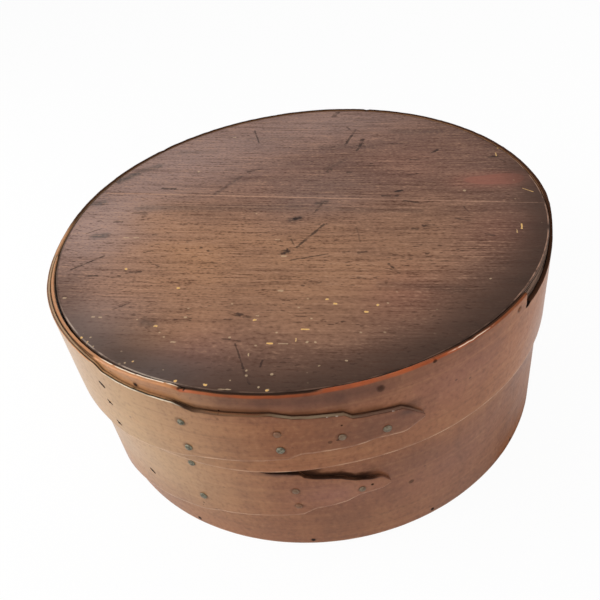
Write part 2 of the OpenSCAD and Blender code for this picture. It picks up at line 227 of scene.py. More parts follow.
# Soft zones of the lid board's colour: x, y, reach along and up, strength
DARK_ZONES = [
    (-90, -78, 24, 24, 0.28), (-63, -96, 18, 13, 0.4), (78, -28, 22, 18, 0.15), (110, 12, 8, 8, 0.35),
    (107, -13, 8, 8, 0.2), (20, 22, 24, 20, 0.25), (-108, -34, 16, 20, 0.3), (-100, 48, 12, 14, 0.1),
    (60, -84, 22, 16, 0.4)]
WARM_ZONES = [
    (-48, -24, 40, 36, 1), (10, -50, 40, 36, 0.65), (48, -24, 34, 30, 0.4), (-14, -40, 24, 18, 0.7),
    (-64, 14, 24, 20, 0.6), (8, -18, 14, 10, 0.5), (0, -76, 26, 22, 0.3), (40, -56, 26, 24, 0.3),
    (-45, -64, 24, 16, 0.4), (-62, -76, 16, 14, 0.5)]
RED_ZONES = [
    (97, 4.8, 13, 5.5, 1), (104, 1.5, 7, 5, 0.7), (85, 8.5, 9, 5, 0.5), (86, -36, 16, 14, 0.25),
    (38, -70, 16, 16, 0.35), (-48, -86, 14, 14, 0.3), (60, 30, 20, 20, 0.12)]
# Greyer patches, whose grey also stands in for a painted sheen of the varnish at the back and left
GREY_AND_SHEEN_ZONES = [
    (-95, 15, 34, 40, 0.9), (-60, 75, 50, 40, 0.65), (20, 95, 60, 30, 0.5), (12, 12, 26, 22, 0.3),
    (-92, -66, 24, 26, 0.9), (-62, -94, 20, 14, 0.9)]
SPECK_ZONES = [
    (-90, -62, 16, 12, 0.9), (-30, -85, 40, 26, 1), (20, -75, 24, 16, 0.7), (100, -20, 14, 30, 0.6)]

# Dark border of the lid board: angle, width, strength
DARK_BORDER = [
    (-180, 6, 0.05), (-168, 8, 0.15), (-155, 12, 0.5), (-140, 19, 0.85), (-125, 17, 0.85), (-112, 16, 0.9),
    (-95, 16, 0.95), (-75, 18, 0.97), (-55, 18, 0.97), (-40, 17, 0.97), (-25, 14, 0.95), (-8, 12, 0.85),
    (8, 9, 0.5), (25, 7, 0.2), (60, 5, 0.1), (150, 5, 0.05), (180, 6, 0.05)]

# Angles above which an edge is shown sharp
WOOD_SHARP, METAL_SHARP = 35, 50

# Half length of a mark that is a point
POINT_MARK = 0.01

# The grain of the lid board turns slowly from back to front: slope at the middle, change of slope per mm
GRAIN_SLOPE, GRAIN_TURN = 0.30, 0.0007


def ramp(x):
    """Smooth step from 0 to 1."""
    u = np.clip(x, 0, 1)
    return u * u * (3 - 2 * u)


def rise(x, ends):
    """Smooth step from 0 to 1 between two ends."""
    return ramp((x - ends[0]) / (ends[1] - ends[0]))


def window(a, w):
    """Rise and fall between four angles."""
    return rise(a, w[:2]) * (1 - rise(a, w[2:]))


def folded(a):
    """Angle folded into the turn that ends at +X and holds the laps."""
    return np.where(a > 0, a - FULL_TURN, a)


def first_turn(a):
    """Angle on a strip's lap brought back to its first turn."""
    return np.where(a > FULL_TURN / 2, a - FULL_TURN, a)


def climbed(a, end):
    """Share of a layer by which a band stands out where it climbs over its inner end."""
    return ramp((a - end + CLIMB) / (CLIMB + FEATHER))


def outline_at(outline, share):
    """Height share of a finger's edge, from its list of corners."""
    return np.interp(share, [p[0] for p in outline], [p[1] for p in outline])


def lid_share(a):
    return (folded(a) - LID_ROOT) / (LID_TIP - LID_ROOT)


def box_share(a):
    return (folded(a) - BOX_ROOT) / (BOX_TIP - BOX_ROOT)


def lid_edge(outline, a):
    return LID_Z + LID_H * outline_at(outline, lid_share(a))


def box_edge(outline, a):
    return BOX_H * outline_at(outline, box_share(a))


def swell(a, z):
    """How far the lid band stands out over the box's lap."""
    f = folded(a)
    up = (z - LID_Z) / LID_H
    return LAYER * (window(f, SWELL_SKIRT) * (1 - up) + window(f, SWELL_RIM) * up)


def split(a):
    """Depth of the split along the lid's rim."""
    gone = SPLIT_DEPTH * (1 - rise(a, (SPLIT_LEVEL, SPLIT_TO)))
    return np.where((a < SPLIT_FROM) | (a > SPLIT_TO), 0, gone)


def ragged(a, step, seed):
    """Smooth seeded noise between -1 and 1, with a new value every step of a."""
    values = np.random.default_rng(seed).uniform(-1, 1, 4096)
    i = np.floor(a / step).astype(int)
    f = ramp(a / step - i)
    return values[i % len(values)] * (1 - f) + values[(i + 1) % len(values)] * f


def waves(kinds, a, seed):
    """Unevenness made of several noises, each of a height and a step."""
    return sum(height * ragged(a, step, seed + i) for i, (height, step) in enumerate(kinds))


def keep(mesh, attributes, domain):
    """Attributes of a mesh, one number or three for each point or corner."""
    for key, values in attributes.items():
        values = np.asarray(values, np.float32)
        if values.ndim == 1:
            mesh.attributes.new(key, "FLOAT", domain).data.foreach_set("value", values)
        else:
            mesh.attributes.new(key, "FLOAT_VECTOR", domain).data.foreach_set("vector", values.ravel())


def new_object(name, data):
    thing = bpy.data.objects.new(name, data)
    bpy.context.scene.collection.objects.link(thing)
    return thing


def make_piece(name, points, faces, body, replaced, material, at_points, at_corners=None,
               sharp=WOOD_SHARP):
    """Mesh piece in metres from points in millimetres, riding on a body in place of a CAD node."""
    mesh = bpy.data.meshes.new(name)
    mesh.from_pydata((np.asarray(points) * MM).tolist(), [], faces)
    keep(mesh, at_points, "POINT")
    keep(mesh, at_corners or {}, "CORNER")
    mesh.shade_smooth()
    mesh.set_sharp_from_angle(angle=math.radians(sharp))
    mesh.materials.append(material)
    piece = new_object(name, mesh)
    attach(piece, body)
    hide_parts(replaced)


def make_wood(node, points, faces, body, material, at_points, at_corners=None):
    name = node + "_wood"
    make_piece(name, points, faces, body, node, material, at_points, at_corners)


def bridge(loops):
    """Quads between each loop of points and the next."""
    quads = []
    for one, two in zip(loops[:-1], loops[1:]):
        corners = zip(one, two, np.roll(two, -1), np.roll(one, -1))
        quads += [tuple(map(int, quad)) for quad in corners]
    return quads


def place_on(points, marks):
    """Place of each point along and across its mark, and the mark's half length."""
    start, end = marks[:, 0:2], marks[:, 2:4]
    length = np.linalg.norm(end - start, axis=1)
    along = (end - start) / length[:, None]
    offset = points - (start + end) / 2
    c = (offset * along).sum(1)
    d = offset[:, 1] * along[:, 0] - offset[:, 0] * along[:, 1]
    return np.column_stack([c, d, np.broadcast_to(length / 2, c.shape)])


def nearest_marks(name, points, faces, marks):
    """Corner attributes that place each face on its nearest mark, in half widths, with its strength."""
    marks = np.array(marks, float)
    corners = np.concatenate([np.array(face) for face in faces])
    owner = np.repeat(np.arange(len(faces)), [len(face) for face in faces])
    sides = np.bincount(owner)
    centres = np.column_stack([np.bincount(owner, points[corners, k]) / sides for k in (0, 1)])
    best = np.full(len(faces), np.inf)
    pick = np.zeros(len(faces), int)
    for number, mark in enumerate(marks):
        c, d, half = place_on(centres, mark[None]).T
        distance = np.hypot(np.maximum(np.abs(c) - half, 0), d) - mark[4] / 2
        pick[distance < best] = number
        best = np.minimum(best, distance)
    chosen = marks[pick[owner]]
    place = place_on(points[corners, :2], chosen) / (chosen[:, 4:5] / 2)
    return {name: place, name + "_strength": chosen[:, 5]}


def along_grain(flecks, strength):
    """Marks along the lid board's grain, with round ends within their length."""
    marks = []
    for x, y, length, width in flecks:
        run = max(length - width, 2 * POINT_MARK) / 2
        rise = run * (GRAIN_SLOPE + GRAIN_TURN * y)
        marks.append((x - run, y + rise, x + run, y - rise, width, strength))
    return marks


def zone(points, spots):
    """Strength of soft spots at each point, from 0 to 1."""
    left = np.ones(len(points))
    for x, y, along, up, strength in spots:
        square = ((points[:, 0] - x) / along) ** 2 + ((points[:, 1] - y) / up) ** 2
        left *= 1 - strength * np.exp(-square)
    return 1 - left


# Bands

EDGE_ROUND, INNER_ROUND, EDGE_FADE, ROUND_STEPS = 0.45, 0.28, 0.7, 3
ROW_STEP, INNER_ROWS = 2.6, 8
STEP_PLAIN, STEP_FINGER = 1.0, 0.5
SPLIT_EDGE = 0.4
HOLLOW, HOLLOW_LEAST = 0.12, 0.015
RIM_WEAR = 0.05
FINGER_LEAST = 1.2

# Unevenness of the hand-cut edges and of the split: height, step in degrees. Share of it on the plain edges
CUT_WAVES, SPLIT_WAVES, PLAIN_CUT = [(0.16, 2.3), (0.07, 0.7)], [(0.35, 3), (0.25, 0.9)], 0.3

# Shift of the grain's pattern on a finger
FINGER_SHIFT = 200

# Four angles where the wood is paler, and where the varnish is worn
PALE_AT, WORN_AT = (-225, -178, -134, -96), (-75, -45, 60, 120)
PALE_FOOT = 0.2
LEFT_GLOSS, FOOT_GLOSS, FRONT_GLOSS, RIGHT_GLOSS = 0.4, 0.09, 0.17, 0.09
FOOT_FADE, GLOSS_FADE = 40, 70

# Stains round fasteners, and painted shade in the seam's slits: radius, strength. Half length and half drop
# of the slits
TACK_STAIN, SLIT_SHADE = (1.9, 0.4), (0.75, 1)
RIM_BRAD_STAIN, FOOT_BRAD_STAIN = (1.45, 0.65), (1.1, 0.6)
SLIT_RUN, SLIT_DROP = 0.9, 0.62


def band_section(t, low, high):
    """Depth, height and marks of low edge, top edge and arris round a band's section."""
    b = np.minimum(np.minimum(EDGE_ROUND, t / 3), (high - low) / 3)
    i = b * INNER_ROUND / EDGE_ROUND
    m = np.minimum(EDGE_FADE, (high - low - 2 * b) / 4)
    outer_rows = math.ceil((high - low).max() / ROW_STEP)
    none = np.zeros_like(low)
    turns = np.radians(np.linspace(0, 90, ROUND_STEPS + 1))
    rows = [(none, low, 1, 0, 0)]
    rows += [(t - b + b * math.sin(w), low + b - b * math.cos(w), 1, 0, 0) for w in turns]
    face = high - low - 2 * (b + m)
    rows += [(t, low + b + m + s * face, 0, 0, 0) for s in np.linspace(0, 1, outer_rows)]
    rows += [(t - b + b * math.cos(w), high - b + b * math.sin(w), 0, 1, math.sin(2 * w)) for w in turns]
    rows += [(i + s * (t - b - i), high, 0, 1, 0) for s in (0.8, 0.5, 0.2)]
    rows += [(i - i * math.sin(w), high - i + i * math.cos(w), 0, 1, 0) for w in turns]
    face = high - i - low - 2 * m
    return rows + [(none, low + m + s * face, 0, 0, 0) for s in np.linspace(1, 0, INNER_ROWS)]


def along_band(a):
    """Length along a band at its outer face."""
    return np.radians(a) * BOX_R


def on_band(places, run=POINT_MARK, drop=0.0):
    """Marks on a band from angle, height, radius and strength, on each turn of its strip."""
    marks = []
    for a, z, radius, strength in places:
        for turn in (-FULL_TURN, 0, FULL_TURN):
            x = along_band(a + turn)
            marks.append((x - run, z + drop, x + run, z - drop, 2 * radius, strength))
    return marks


def make_band(name, body, material, stations, t, low, high, inner_r, lap, tones, nails, spots):
    """One strip, bent round and lapped over itself, from its stations' thickness and edges."""
    section = band_section(t, low, high)
    count = len(section)
    a = np.repeat(stations[:, None], count, 1)
    depth = np.stack([row[0] for row in section], 1)
    z = np.stack([row[1] for row in section], 1)
    dents = 0.5 + 0.3 * ragged(a + 0.4 * z, 9, 11) + 0.2 * ragged(a * 3 - z, 7, 12)
    depth_share = depth / t[:, None]
    r = inner_r(a, z) + depth - (HOLLOW_LEAST + HOLLOW * dents) * depth_share
    turn = np.radians(a)
    points = np.stack([r * np.cos(turn), r * np.sin(turn), z], -1).reshape(-1, 3)
    loops = np.arange(len(points)).reshape(a.shape)
    faces = bridge(loops) + [tuple(map(int, loops[0])), tuple(map(int, loops[-1][::-1]))]
    flat = np.column_stack([along_band(a).ravel(), z.ravel()])
    marks = np.stack([np.broadcast_to([row[k] for row in section], a.shape) for k in (2, 3, 4)], -1)
    on_finger = a >= stations[0] + FULL_TURN
    rim, shine, warm, zones = tones(a, z, depth_share, on_finger)
    grain = np.column_stack([flat[:, 0], flat[:, 1] + FINGER_SHIFT * on_finger.ravel(), depth.ravel()]) * MM
    at_points = {"grain": grain, "edges": marks.reshape(-1, 3), "rim": rim.reshape(-1, 3),
                 "zones": zones.reshape(-1, 3),
                 "lap": np.stack([lap(a), z / CLOSED_H, on_finger], -1).reshape(-1, 3),
                 "shine": shine.ravel(), "gloss": varnish(a, z).ravel(), "warm": warm.ravel(),
                 "inside": (depth < 0.01).astype(float).ravel()}
    at_corners = nearest_marks("nail", flat, faces, nails)
    at_corners.update(nearest_marks("spot", flat, faces, spots))
    make_wood(name, points, faces, body, material, at_points, at_corners)


def band_zones(a, z, dark, red):
    """Strength of the pale, dark and red zones of a band."""
    f = folded(first_turn(a))
    flat = np.column_stack([along_band(f).ravel(), z.ravel()])
    spots = [[(along_band(spot[0]),) + spot[1:] for spot in spots] for spots in (dark, red)]
    parts = [pale_share(f, z)] + [zone(flat, s).reshape(a.shape) for s in spots]
    return np.stack(parts, -1)


def pale_share(f, z):
    """Share of the paler wood, towards the left of the front and less at the foot."""
    return window(f, PALE_AT) * (PALE_FOOT + (1 - PALE_FOOT) * ramp(z / FOOT_FADE))


def varnish(a, z):
    """Gloss of the varnish, which is best kept at the left and most worn at the right."""
    w = (a + FULL_TURN / 2) % FULL_TURN - FULL_TURN / 2
    high = ramp(z / GLOSS_FADE)
    left = pale_share(folded(w), z) * (FOOT_GLOSS + high * (LEFT_GLOSS - FOOT_GLOSS) - FRONT_GLOSS)
    right = window(w, WORN_AT) * (FRONT_GLOSS - high * RIGHT_GLOSS)
    return FRONT_GLOSS + left - right


def lid_tones(a, z, depth, on_finger):
    """Worn orange, tan and dark share of the lid's rim, with painted shade in the crevice between its
    layers, its painted highlight, and its wall's warmth and zones.
    """
    f = folded(first_turn(a))
    outer = rise(depth, RIM_OUTER)
    orange = window(f, RIM_ORANGE) * (outer + (1 - outer) * window(f, RIM_ORANGE_WIDE)) * ~on_finger
    orange *= 1 - ORANGE_LESS_BY * window(f, RIM_ORANGE_LESS) - ORANGE_FADE_BY * rise(f, ORANGE_FADE)
    # Painted shade in the crevice between the two layers, where the tan gives way to the dark share
    crevice = rise(depth, RIM_CREVICE) * (f < RIM_DOUBLED)
    tan = window(f, RIM_TAN) * (1 - CREVICE_BY * crevice) * ~on_finger
    dark = np.clip(1 - orange - tan, 0, 1)
    side = np.where(f < HIGHLIGHT_INSIDE_TO, 1 - rise(depth, HIGHLIGHT_INNER), window(depth, HIGHLIGHT_OUTSIDE))
    shine = sum(window(f, w) for w in RIM_PAINTED_HIGHLIGHTS) * side
    strip = window(f, STRIP_WARM) * rise(z, STRIP_RISE) * ~on_finger
    warm = np.maximum(window(first_turn(a), LID_WARM), strip)
    return np.stack([orange, tan, dark], -1), shine, warm, band_zones(a, z, LID_DARK, LID_RED)


def box_tones(a, z, depth, on_finger):
    """The same for the box band, whose upper edge is evenly worn."""
    none = np.zeros_like(a)
    rim = np.stack([none, none + BOX_RIM_TAN, none + BOX_RIM_DARK], -1)
    return rim, none, none, band_zones(a, z, BOX_DARK_AND_SHADOW, BOX_RED)


def finger_places(tacks, root, tip, edge, lower, upper):
    """Angle and height of each tack on a finger."""
    places = []
    for share, width_share, *_ in tacks:
        a = root + share * (tip - root)
        low, high = float(edge(lower, a)), float(edge(upper, a))
        places.append((a, low + width_share * (high - low)))
    return places


LID_TACK_PLACES = finger_places(LID_TACKS, LID_ROOT, LID_TIP, lid_edge, LID_LOWER, LID_UPPER)
BOX_TACK_PLACES = finger_places(BOX_TACKS, BOX_ROOT, BOX_TIP, box_edge, BOX_LOWER, BOX_UPPER)
LID_SEAM_PLACES = [(LID_ROOT + a, LID_Z + share * LID_H) for a, share in LID_SEAM]
BOX_SEAM_PLACES = [(BOX_ROOT + a, share * BOX_H) for a, share in BOX_SEAM]


def stained(tacks, seam, brads, brad_stain):
    """Dark wood round the fasteners: rings at tacks and brads, and at the seam's nails slanted slits of
    painted shade round their sunk heads.
    """
    rings = [place + TACK_STAIN for place in tacks] + [place + brad_stain for place in brads]
    return on_band(rings) + on_band([place + SLIT_SHADE for place in seam], SLIT_RUN, SLIT_DROP)


def lid_inner(a, z):
    return LID_IN_R + swell(a, z) + LAYER * climbed(a - FULL_TURN, LID_END)


def box_inner(a, z):
    return BOX_IN_R + LAYER * climbed(a - FULL_TURN, BOX_END)


def pared(stations, end):
    """Thickness of a band, pared thin towards its inner end."""
    return np.where(stations < end + FEATHER, BAND_T * climbed(stations, end), BAND_T)


def cut(stations, seed):
    """Small unevenness of a hand-cut edge."""
    return waves(CUT_WAVES, stations, seed)


def make_lid_band(material):
    stations = np.concatenate([
        np.arange(LID_END, SPLIT_FROM - SPLIT_EDGE, STEP_PLAIN), [SPLIT_FROM - SPLIT_EDGE, SPLIT_FROM],
        np.arange(SPLIT_FROM + STEP_FINGER, SPLIT_TO, STEP_FINGER),
        np.arange(SPLIT_TO, LID_ROOT + FULL_TURN, STEP_PLAIN),
        np.arange(LID_ROOT + FULL_TURN, LID_TIP + FULL_TURN, STEP_FINGER), [LID_TIP + FULL_TURN]])
    single = stations < LID_END + FULL_TURN
    rim = CLOSED_H - RIM_WEAR - np.abs(cut(stations, 21))
    rim -= RIM_LOW_DEPTH * window(stations, RIM_LOW)
    for a, half, depth in RIM_CHIPS:
        rim -= depth * (1 - ramp(np.abs(stations - a) / half - 0.3)) * single
    broken = split(stations)
    rim -= broken + (broken > 0) * waves(SPLIT_WAVES, stations, 23)
    rim = np.minimum(rim, CLOSED_H - RIM_WEAR)
    finger_high = np.minimum(lid_edge(LID_UPPER, stations) + cut(stations, 25), rim)
    finger_low = np.maximum(lid_edge(LID_LOWER, stations) + cut(stations, 27), LID_Z)
    low = np.where(single, LID_Z + PLAIN_CUT * np.abs(cut(stations, 29)), finger_low)
    high = np.where(single, rim, np.maximum(finger_high, finger_low + FINGER_LEAST))
    brads = [(a, LID_BRAD_Z) for a, _ in LID_BRADS]
    nails = stained(LID_TACK_PLACES, LID_SEAM_PLACES, brads, RIM_BRAD_STAIN)
    spots = on_band(LID_SPOTS) + on_band([LID_CRACK], CRACK_RUN, CRACK_DROP)
    make_band("lid_band", "lid", material, stations, pared(stations, LID_END), low, high,
              lid_inner, lid_share, lid_tones, nails, spots)


def make_box_band(material):
    stations = np.concatenate([
        np.arange(BOX_END, BOX_ROOT + FULL_TURN, STEP_PLAIN),
        np.arange(BOX_ROOT + FULL_TURN, BOX_TIP + FULL_TURN, STEP_FINGER), [BOX_TIP + FULL_TURN]])
    single = stations < BOX_END + FULL_TURN
    finger_high = np.minimum(box_edge(BOX_UPPER, stations) + cut(stations, 31), BOX_H)
    finger_low = np.maximum(box_edge(BOX_LOWER, stations) + cut(stations, 33), 0)
    low = np.where(single, 0, finger_low)
    rim = BOX_H - PLAIN_CUT * np.abs(cut(stations, 35))
    high = np.where(single, rim, np.maximum(finger_high, finger_low + FINGER_LEAST))
    brads = [(a, BOTTOM_BRAD_Z) for a, _ in BOTTOM_BRADS]
    nails = stained(BOX_TACK_PLACES, BOX_SEAM_PLACES, brads, FOOT_BRAD_STAIN)
    make_band("box_band", "box", material, stations, pared(stations, BOX_END), low, high,
              box_inner, box_share, box_tones, nails, on_band(BOX_SPOTS))


# Boards

GRID = 110
BOARD_FOLLOWS = 0.62
BOARD_EASE, BOARD_UNEVEN, BOTTOM_UNEVEN = 0.05, 0.06, 0.05
BOTTOM_SLOPE = 0.12

# Stretch where the lid board is a little short: depth, four angles
BOARD_SHORT, BOARD_SHORT_AT = 0.12, (-110, -80, -40, -10)

# Edge of the lid board, ridged along its grain: inset, height below the top
LID_BOARD_ARRIS, BOTTOM_ARRIS = 0.45, 0.5
LID_BOARD_EDGE = [
    (0.72, 0), (0.27, 0.12), (0.12, 0.45), (0, 1), (0, 1.6), (0.35, 1.8), (0.3, 2.1), (0, 2.3), (0.05, 3.9),
    (0.4, 4.1), (0.35, 4.4), (0, 4.6), (0, 6.2), (0.3, 6.4), (0, 6.8)]

# Fades from the lid board's side: heights from its top, heights from its underside
TOP_FADE, UNDER_FADE = (-0.7, -0.1), (0, 0.4)

# Bright stretches of the lid board's arris: four angles each, and the least brightness elsewhere
BRIGHT_ARRIS, BRIGHT_LEAST = [(-160, -150, -122, -110), (-50, -44, 5, 20)], 0.25


def disc_grid(n):
    """Points of a square grid pushed out to a unit disc, and the order of its outer ring."""
    line = np.linspace(-1, 1, n)
    u, v = np.meshgrid(line, line, indexing="ij")
    wide = np.abs(u) >= np.abs(v)
    safe_u = np.where(u == 0, 1, u)
    safe_v = np.where(v == 0, 1, v)
    angle = np.where(wide, math.pi / 4 * v / safe_u, math.pi / 2 - math.pi / 4 * u / safe_v)
    radius = np.where(wide, u, v)
    points = np.stack([radius * np.cos(angle), radius * np.sin(angle)], -1).reshape(-1, 2)
    index = np.arange(n * n).reshape(n, n)
    ring = np.concatenate([index[:-1, 0], index[-1, :-1], index[:0:-1, -1], index[0, :0:-1]])
    faces = [(int(index[i, j]), int(index[i + 1, j]), int(index[i + 1, j + 1]), int(index[i, j + 1]))
             for i in range(n - 1) for j in range(n - 1)]
    return points, faces, ring


def board_points(radius, profile):
    """Board with an edge of the given profile: inset and height of each row, top row first."""
    disc, faces, ring = disc_grid(GRID)
    reach = radius(np.degrees(np.arctan2(disc[:, 1], disc[:, 0])))
    everywhere = np.arange(len(disc))
    rows = []
    for which, (inset, z) in zip([everywhere] + [ring] * (len(profile) - 2) + [everywhere], profile):
        flat = disc[which] * (reach[which] - inset)[:, None]
        rows.append(np.column_stack([flat, np.full(len(which), z)]))
    starts = np.cumsum([0] + [len(row) for row in rows])
    edge_loops = [np.arange(len(ring)) + start for start in starts[1:-2]]
    quads = faces + bridge([ring] + edge_loops + [ring + starts[-2]])
    quads += [tuple(i + int(starts[-2]) for i in face[::-1]) for face in faces]
    return np.concatenate(rows), quads


def lid_board_reach(a):
    """Radius of the lid board, which follows the swelling of its band part of the way."""
    follow = BOARD_FOLLOWS * swell(a, LID_BOARD_TOP) - BOARD_SHORT * window(a, BOARD_SHORT_AT)
    return LID_IN_R - BOARD_FIT - BOARD_EASE + follow - BOARD_UNEVEN * (1 + ragged(a, 4, 41))


def border(around, rimward):
    """Strength of the dark border at each point of the lid board."""
    angles, widths, strengths = np.array(DARK_BORDER, float).T
    width = np.interp(around, angles, widths)
    return np.interp(around, angles, strengths) * np.exp(-(np.maximum(rimward, 0) / width) ** 2)


def make_lid_board(material):
    top, low = LID_BOARD_TOP, LID_BOARD_LOW
    profile = [(inset, top - drop) for inset, drop in LID_BOARD_EDGE]
    profile += [(0, low + LID_BOARD_ARRIS), (LID_BOARD_ARRIS, low)]
    points, faces = board_points(lid_board_reach, profile)
    x, y, z = points.T
    grain = np.column_stack([x, y + x * (GRAIN_SLOPE + GRAIN_TURN * y), z]) * MM
    around = np.degrees(np.arctan2(y, x))
    bright = sum(window(around, w) for w in BRIGHT_ARRIS)
    rimward = lid_board_reach(around) - np.hypot(x, y)
    zones = [zone(points, spots) for spots in (DARK_ZONES, WARM_ZONES, RED_ZONES)]
    zones[0] = 1 - (1 - zones[0]) * (1 - border(around, rimward))
    bright = BRIGHT_LEAST + (1 - BRIGHT_LEAST) * bright
    veils = [zone(points, GREY_AND_SHEEN_ZONES), zone(points, SPECK_ZONES), bright]
    at_points = {"grain": grain, "zones": np.column_stack(zones), "veils": np.column_stack(veils),
                 "upward": rise(z - top, TOP_FADE), "downward": 1 - rise(z - low, UNDER_FADE),
                 "rimward": rimward}
    at_corners = {}
    flecks = along_grain(BRIGHT_FLECKS, BRIGHT) + along_grain(FAINT_FLECKS, FAINT) + CROSS_FLECKS
    sets = {"mark": SCRATCHES, "stain": STAINS, "fleck": flecks, "line": PALE_LINES}
    for name, marks in sets.items():
        at_corners.update(nearest_marks(name, points, faces, marks))
    make_wood("lid_board", points, faces, "lid", material, at_points, at_corners)


def bottom_board_reach(a):
    return BOX_IN_R - BOARD_FIT - BOTTOM_UNEVEN * (1 + ragged(a, 5, 43))


def make_bottom_board(material):
    arris, top = BOTTOM_ARRIS, BOTTOM_TOP
    profile = [(arris, top), (0.12, top - 0.15), (0, top - arris), (0, arris), (0.15, 0.15), (arris, 0)]
    points, faces = board_points(bottom_board_reach, profile)
    x, y, z = points.T
    grain = np.column_stack([x, y + BOTTOM_SLOPE * x, z]) * MM
    at_points = {"grain": grain, "rimward": BOX_IN_R - np.hypot(x, y)}
    make_wood("bottom_board", points, faces, "box", material, at_points)


# Fasteners

HEAD_SIDES = 22
SLIT, SLIT_SLANT = 0.5, 35
TACK_UNEVEN, POINT_UNEVEN, NAIL_UNEVEN = 0.05, 0.08, 0.12

# How far heads sit out of the wood or sink into it
LID_TACK_OUT, BOX_TACK_SUNK, NAIL_SUNK, BRAD_SUNK = 0.02, 0.02, 0.03, 0.05

# How far a box tack's shank reaches into the box
SHANK_PAST = 0.3

# First seed of each kind of fastener
BOX_TACK_SEED, POINT_SEED, LID_NAIL_SEED, BOX_NAIL_SEED = 20, 40, 60, 70
RIM_BRAD_SEED, FOOT_BRAD_SEED = 80, 100


def turned(profile, seed, uneven):
    """Points and faces of an uneven turned form from its profile of radius and height."""
    phase = np.random.default_rng(seed).uniform(0, 2 * math.pi, 3)
    around = np.linspace(0, 2 * math.pi, HEAD_SIDES, endpoint=False)
    wave = sum(np.cos(k * around + p) for k, p in zip((2, 3, 5), phase)) / 3
    rows = []
    for r, h in profile:
        spread = r * (1 + uneven * wave)
        height = h * (1 + 0.5 * uneven * np.roll(wave, 5)) if h > 0 else np.full(HEAD_SIDES, h)
        rows.append(np.column_stack([spread * np.cos(around), spread * np.sin(around), height]))
    points = np.concatenate(rows)
    faces = []
    ring = range(HEAD_SIDES)
    for i in range(len(rows) - 1):
        low, high = i * HEAD_SIDES, (i + 1) * HEAD_SIDES
        for j in ring:
            k = (j + 1) % HEAD_SIDES
            faces.append((low + j, low + k, high + k, high + j))
    faces.append(tuple(ring)[::-1])
    faces.append(tuple(high + j for j in ring))
    return points, faces


def outward(a, r, z, lean=0.0, turn=0.0):
    """Frame on a band whose own +Z points out of the wall."""
    return (Matrix.Rotation(math.radians(a), 4, "Z") @ Matrix.Translation((r, 0, z))
            @ Matrix.Rotation(-turn, 4, "Z") @ Matrix.Rotation(math.radians(90) + lean, 4, "Y"))


def on_lid_lap(a, z, out):
    """Frame on the lid's lap, square to its wall, at a distance out from its inner face."""
    def radius(angle):
        return float(LID_IN_R + swell(angle, z) + LAYER * climbed(angle, LID_END))

    lean = math.atan((float(swell(a, CLOSED_H)) - float(swell(a, LID_Z))) / LID_H)
    turn = math.atan((radius(a + 1) - radius(a - 1)) / (2 * radius(a) * math.sin(math.radians(1))))
    return outward(a, radius(a), z, lean, turn) @ Matrix.Translation((0, 0, out))


def gather(forms):
    """One list of points and faces from several placed forms, and the dirt on each point."""
    points, faces, dirt = [], [], []
    for place, (form_points, form_faces), form_dirt in forms:
        start = len(points)
        points += [tuple(place @ Vector(p)) for p in form_points]
        faces += [tuple(start + i for i in face) for face in form_faces]
        dirt += [form_dirt] * len(form_points)
    return points, faces, dirt


def tack_head(seed, depth, size):
    """Domed tack head on its shank, sunk a little in the wood."""
    r, h, s = size * TACK_D / 2, TACK_H, SHANK_D / 2
    profile = [(s, -depth), (s, -0.1), (r * 0.94, -0.1), (r, 0.1), (r * 0.97, 0.24), (r * 0.86, 0.47),
               (r * 0.66, 0.65), (r * 0.4, h * 0.94), (r * 0.14, h)]
    return turned(profile, seed, TACK_UNEVEN)


def clinch(seed):
    """Tapered tack point, turned over against the inside of the wall."""
    s = SHANK_D / 2
    profile = [(s, -0.6), (s * 1.05, 0), (s * 0.9, 0.8), (s * 0.6, 2), (s * 0.25, CLINCH_L)]
    return turned(profile, seed, POINT_UNEVEN)


def nail_head(diameter, depth, seed, narrow=1.0):
    """Hammered head of a nail or brad, just above the wood. A narrow one is a slanted slit."""
    r = diameter / 2
    profile = [(r * 0.8, -depth), (r, -0.05), (r, NAIL_H * 0.6),
               (r * 0.7, NAIL_H), (r * 0.25, NAIL_H * 0.8)]
    points, faces = turned(profile, seed, NAIL_UNEVEN)
    slant = np.array(Matrix.Rotation(math.radians(SLIT_SLANT), 3, "Z"))
    return points * (narrow, 1, 1) @ slant.T, faces


def make_fasteners(name, body, replaced, material, forms):
    points, faces, dirt = gather(forms)
    make_piece(name, points, faces, body, replaced, material, {"dirt": dirt}, sharp=METAL_SHARP)


def box_wall(a, z):
    """Radius of the outer face of the box's lap."""
    return float(box_inner(a + FULL_TURN, z)) + BAND_T


def make_lid_tacks(copper):
    forms = []
    for i, ((a, z), (_, _, size, dirt)) in enumerate(zip(LID_TACK_PLACES, LID_TACKS)):
        head = tack_head(i, LAYER + BAND_T, size)
        forms.append((on_lid_lap(a, z, BAND_T + LID_TACK_OUT), head, dirt))
    make_fasteners("lid_tacks", "lid", "lid_lap_tacks", copper, forms)


def make_box_tacks(copper):
    forms = []
    for i, ((a, z), (_, _, size, dirt)) in enumerate(zip(BOX_TACK_PLACES, BOX_TACKS)):
        wall = box_wall(a, z)
        head = tack_head(BOX_TACK_SEED + i, wall - BOX_IN_R + SHANK_PAST, size)
        forms.append((outward(a, wall - BOX_TACK_SUNK, z), head, dirt))
        point = outward(a, BOX_IN_R - SHANK_D / 2 - LAP_GAP, z) @ Matrix.Rotation(math.radians(-90), 4, "Y")
        forms.append((point, clinch(POINT_SEED + i), 0))
    make_fasteners("box_tacks", "box", "box_lap_tacks", copper, forms)


def seam_nail(seed):
    return nail_head(SEAM_HEAD_D, NAIL_L, seed, SLIT)


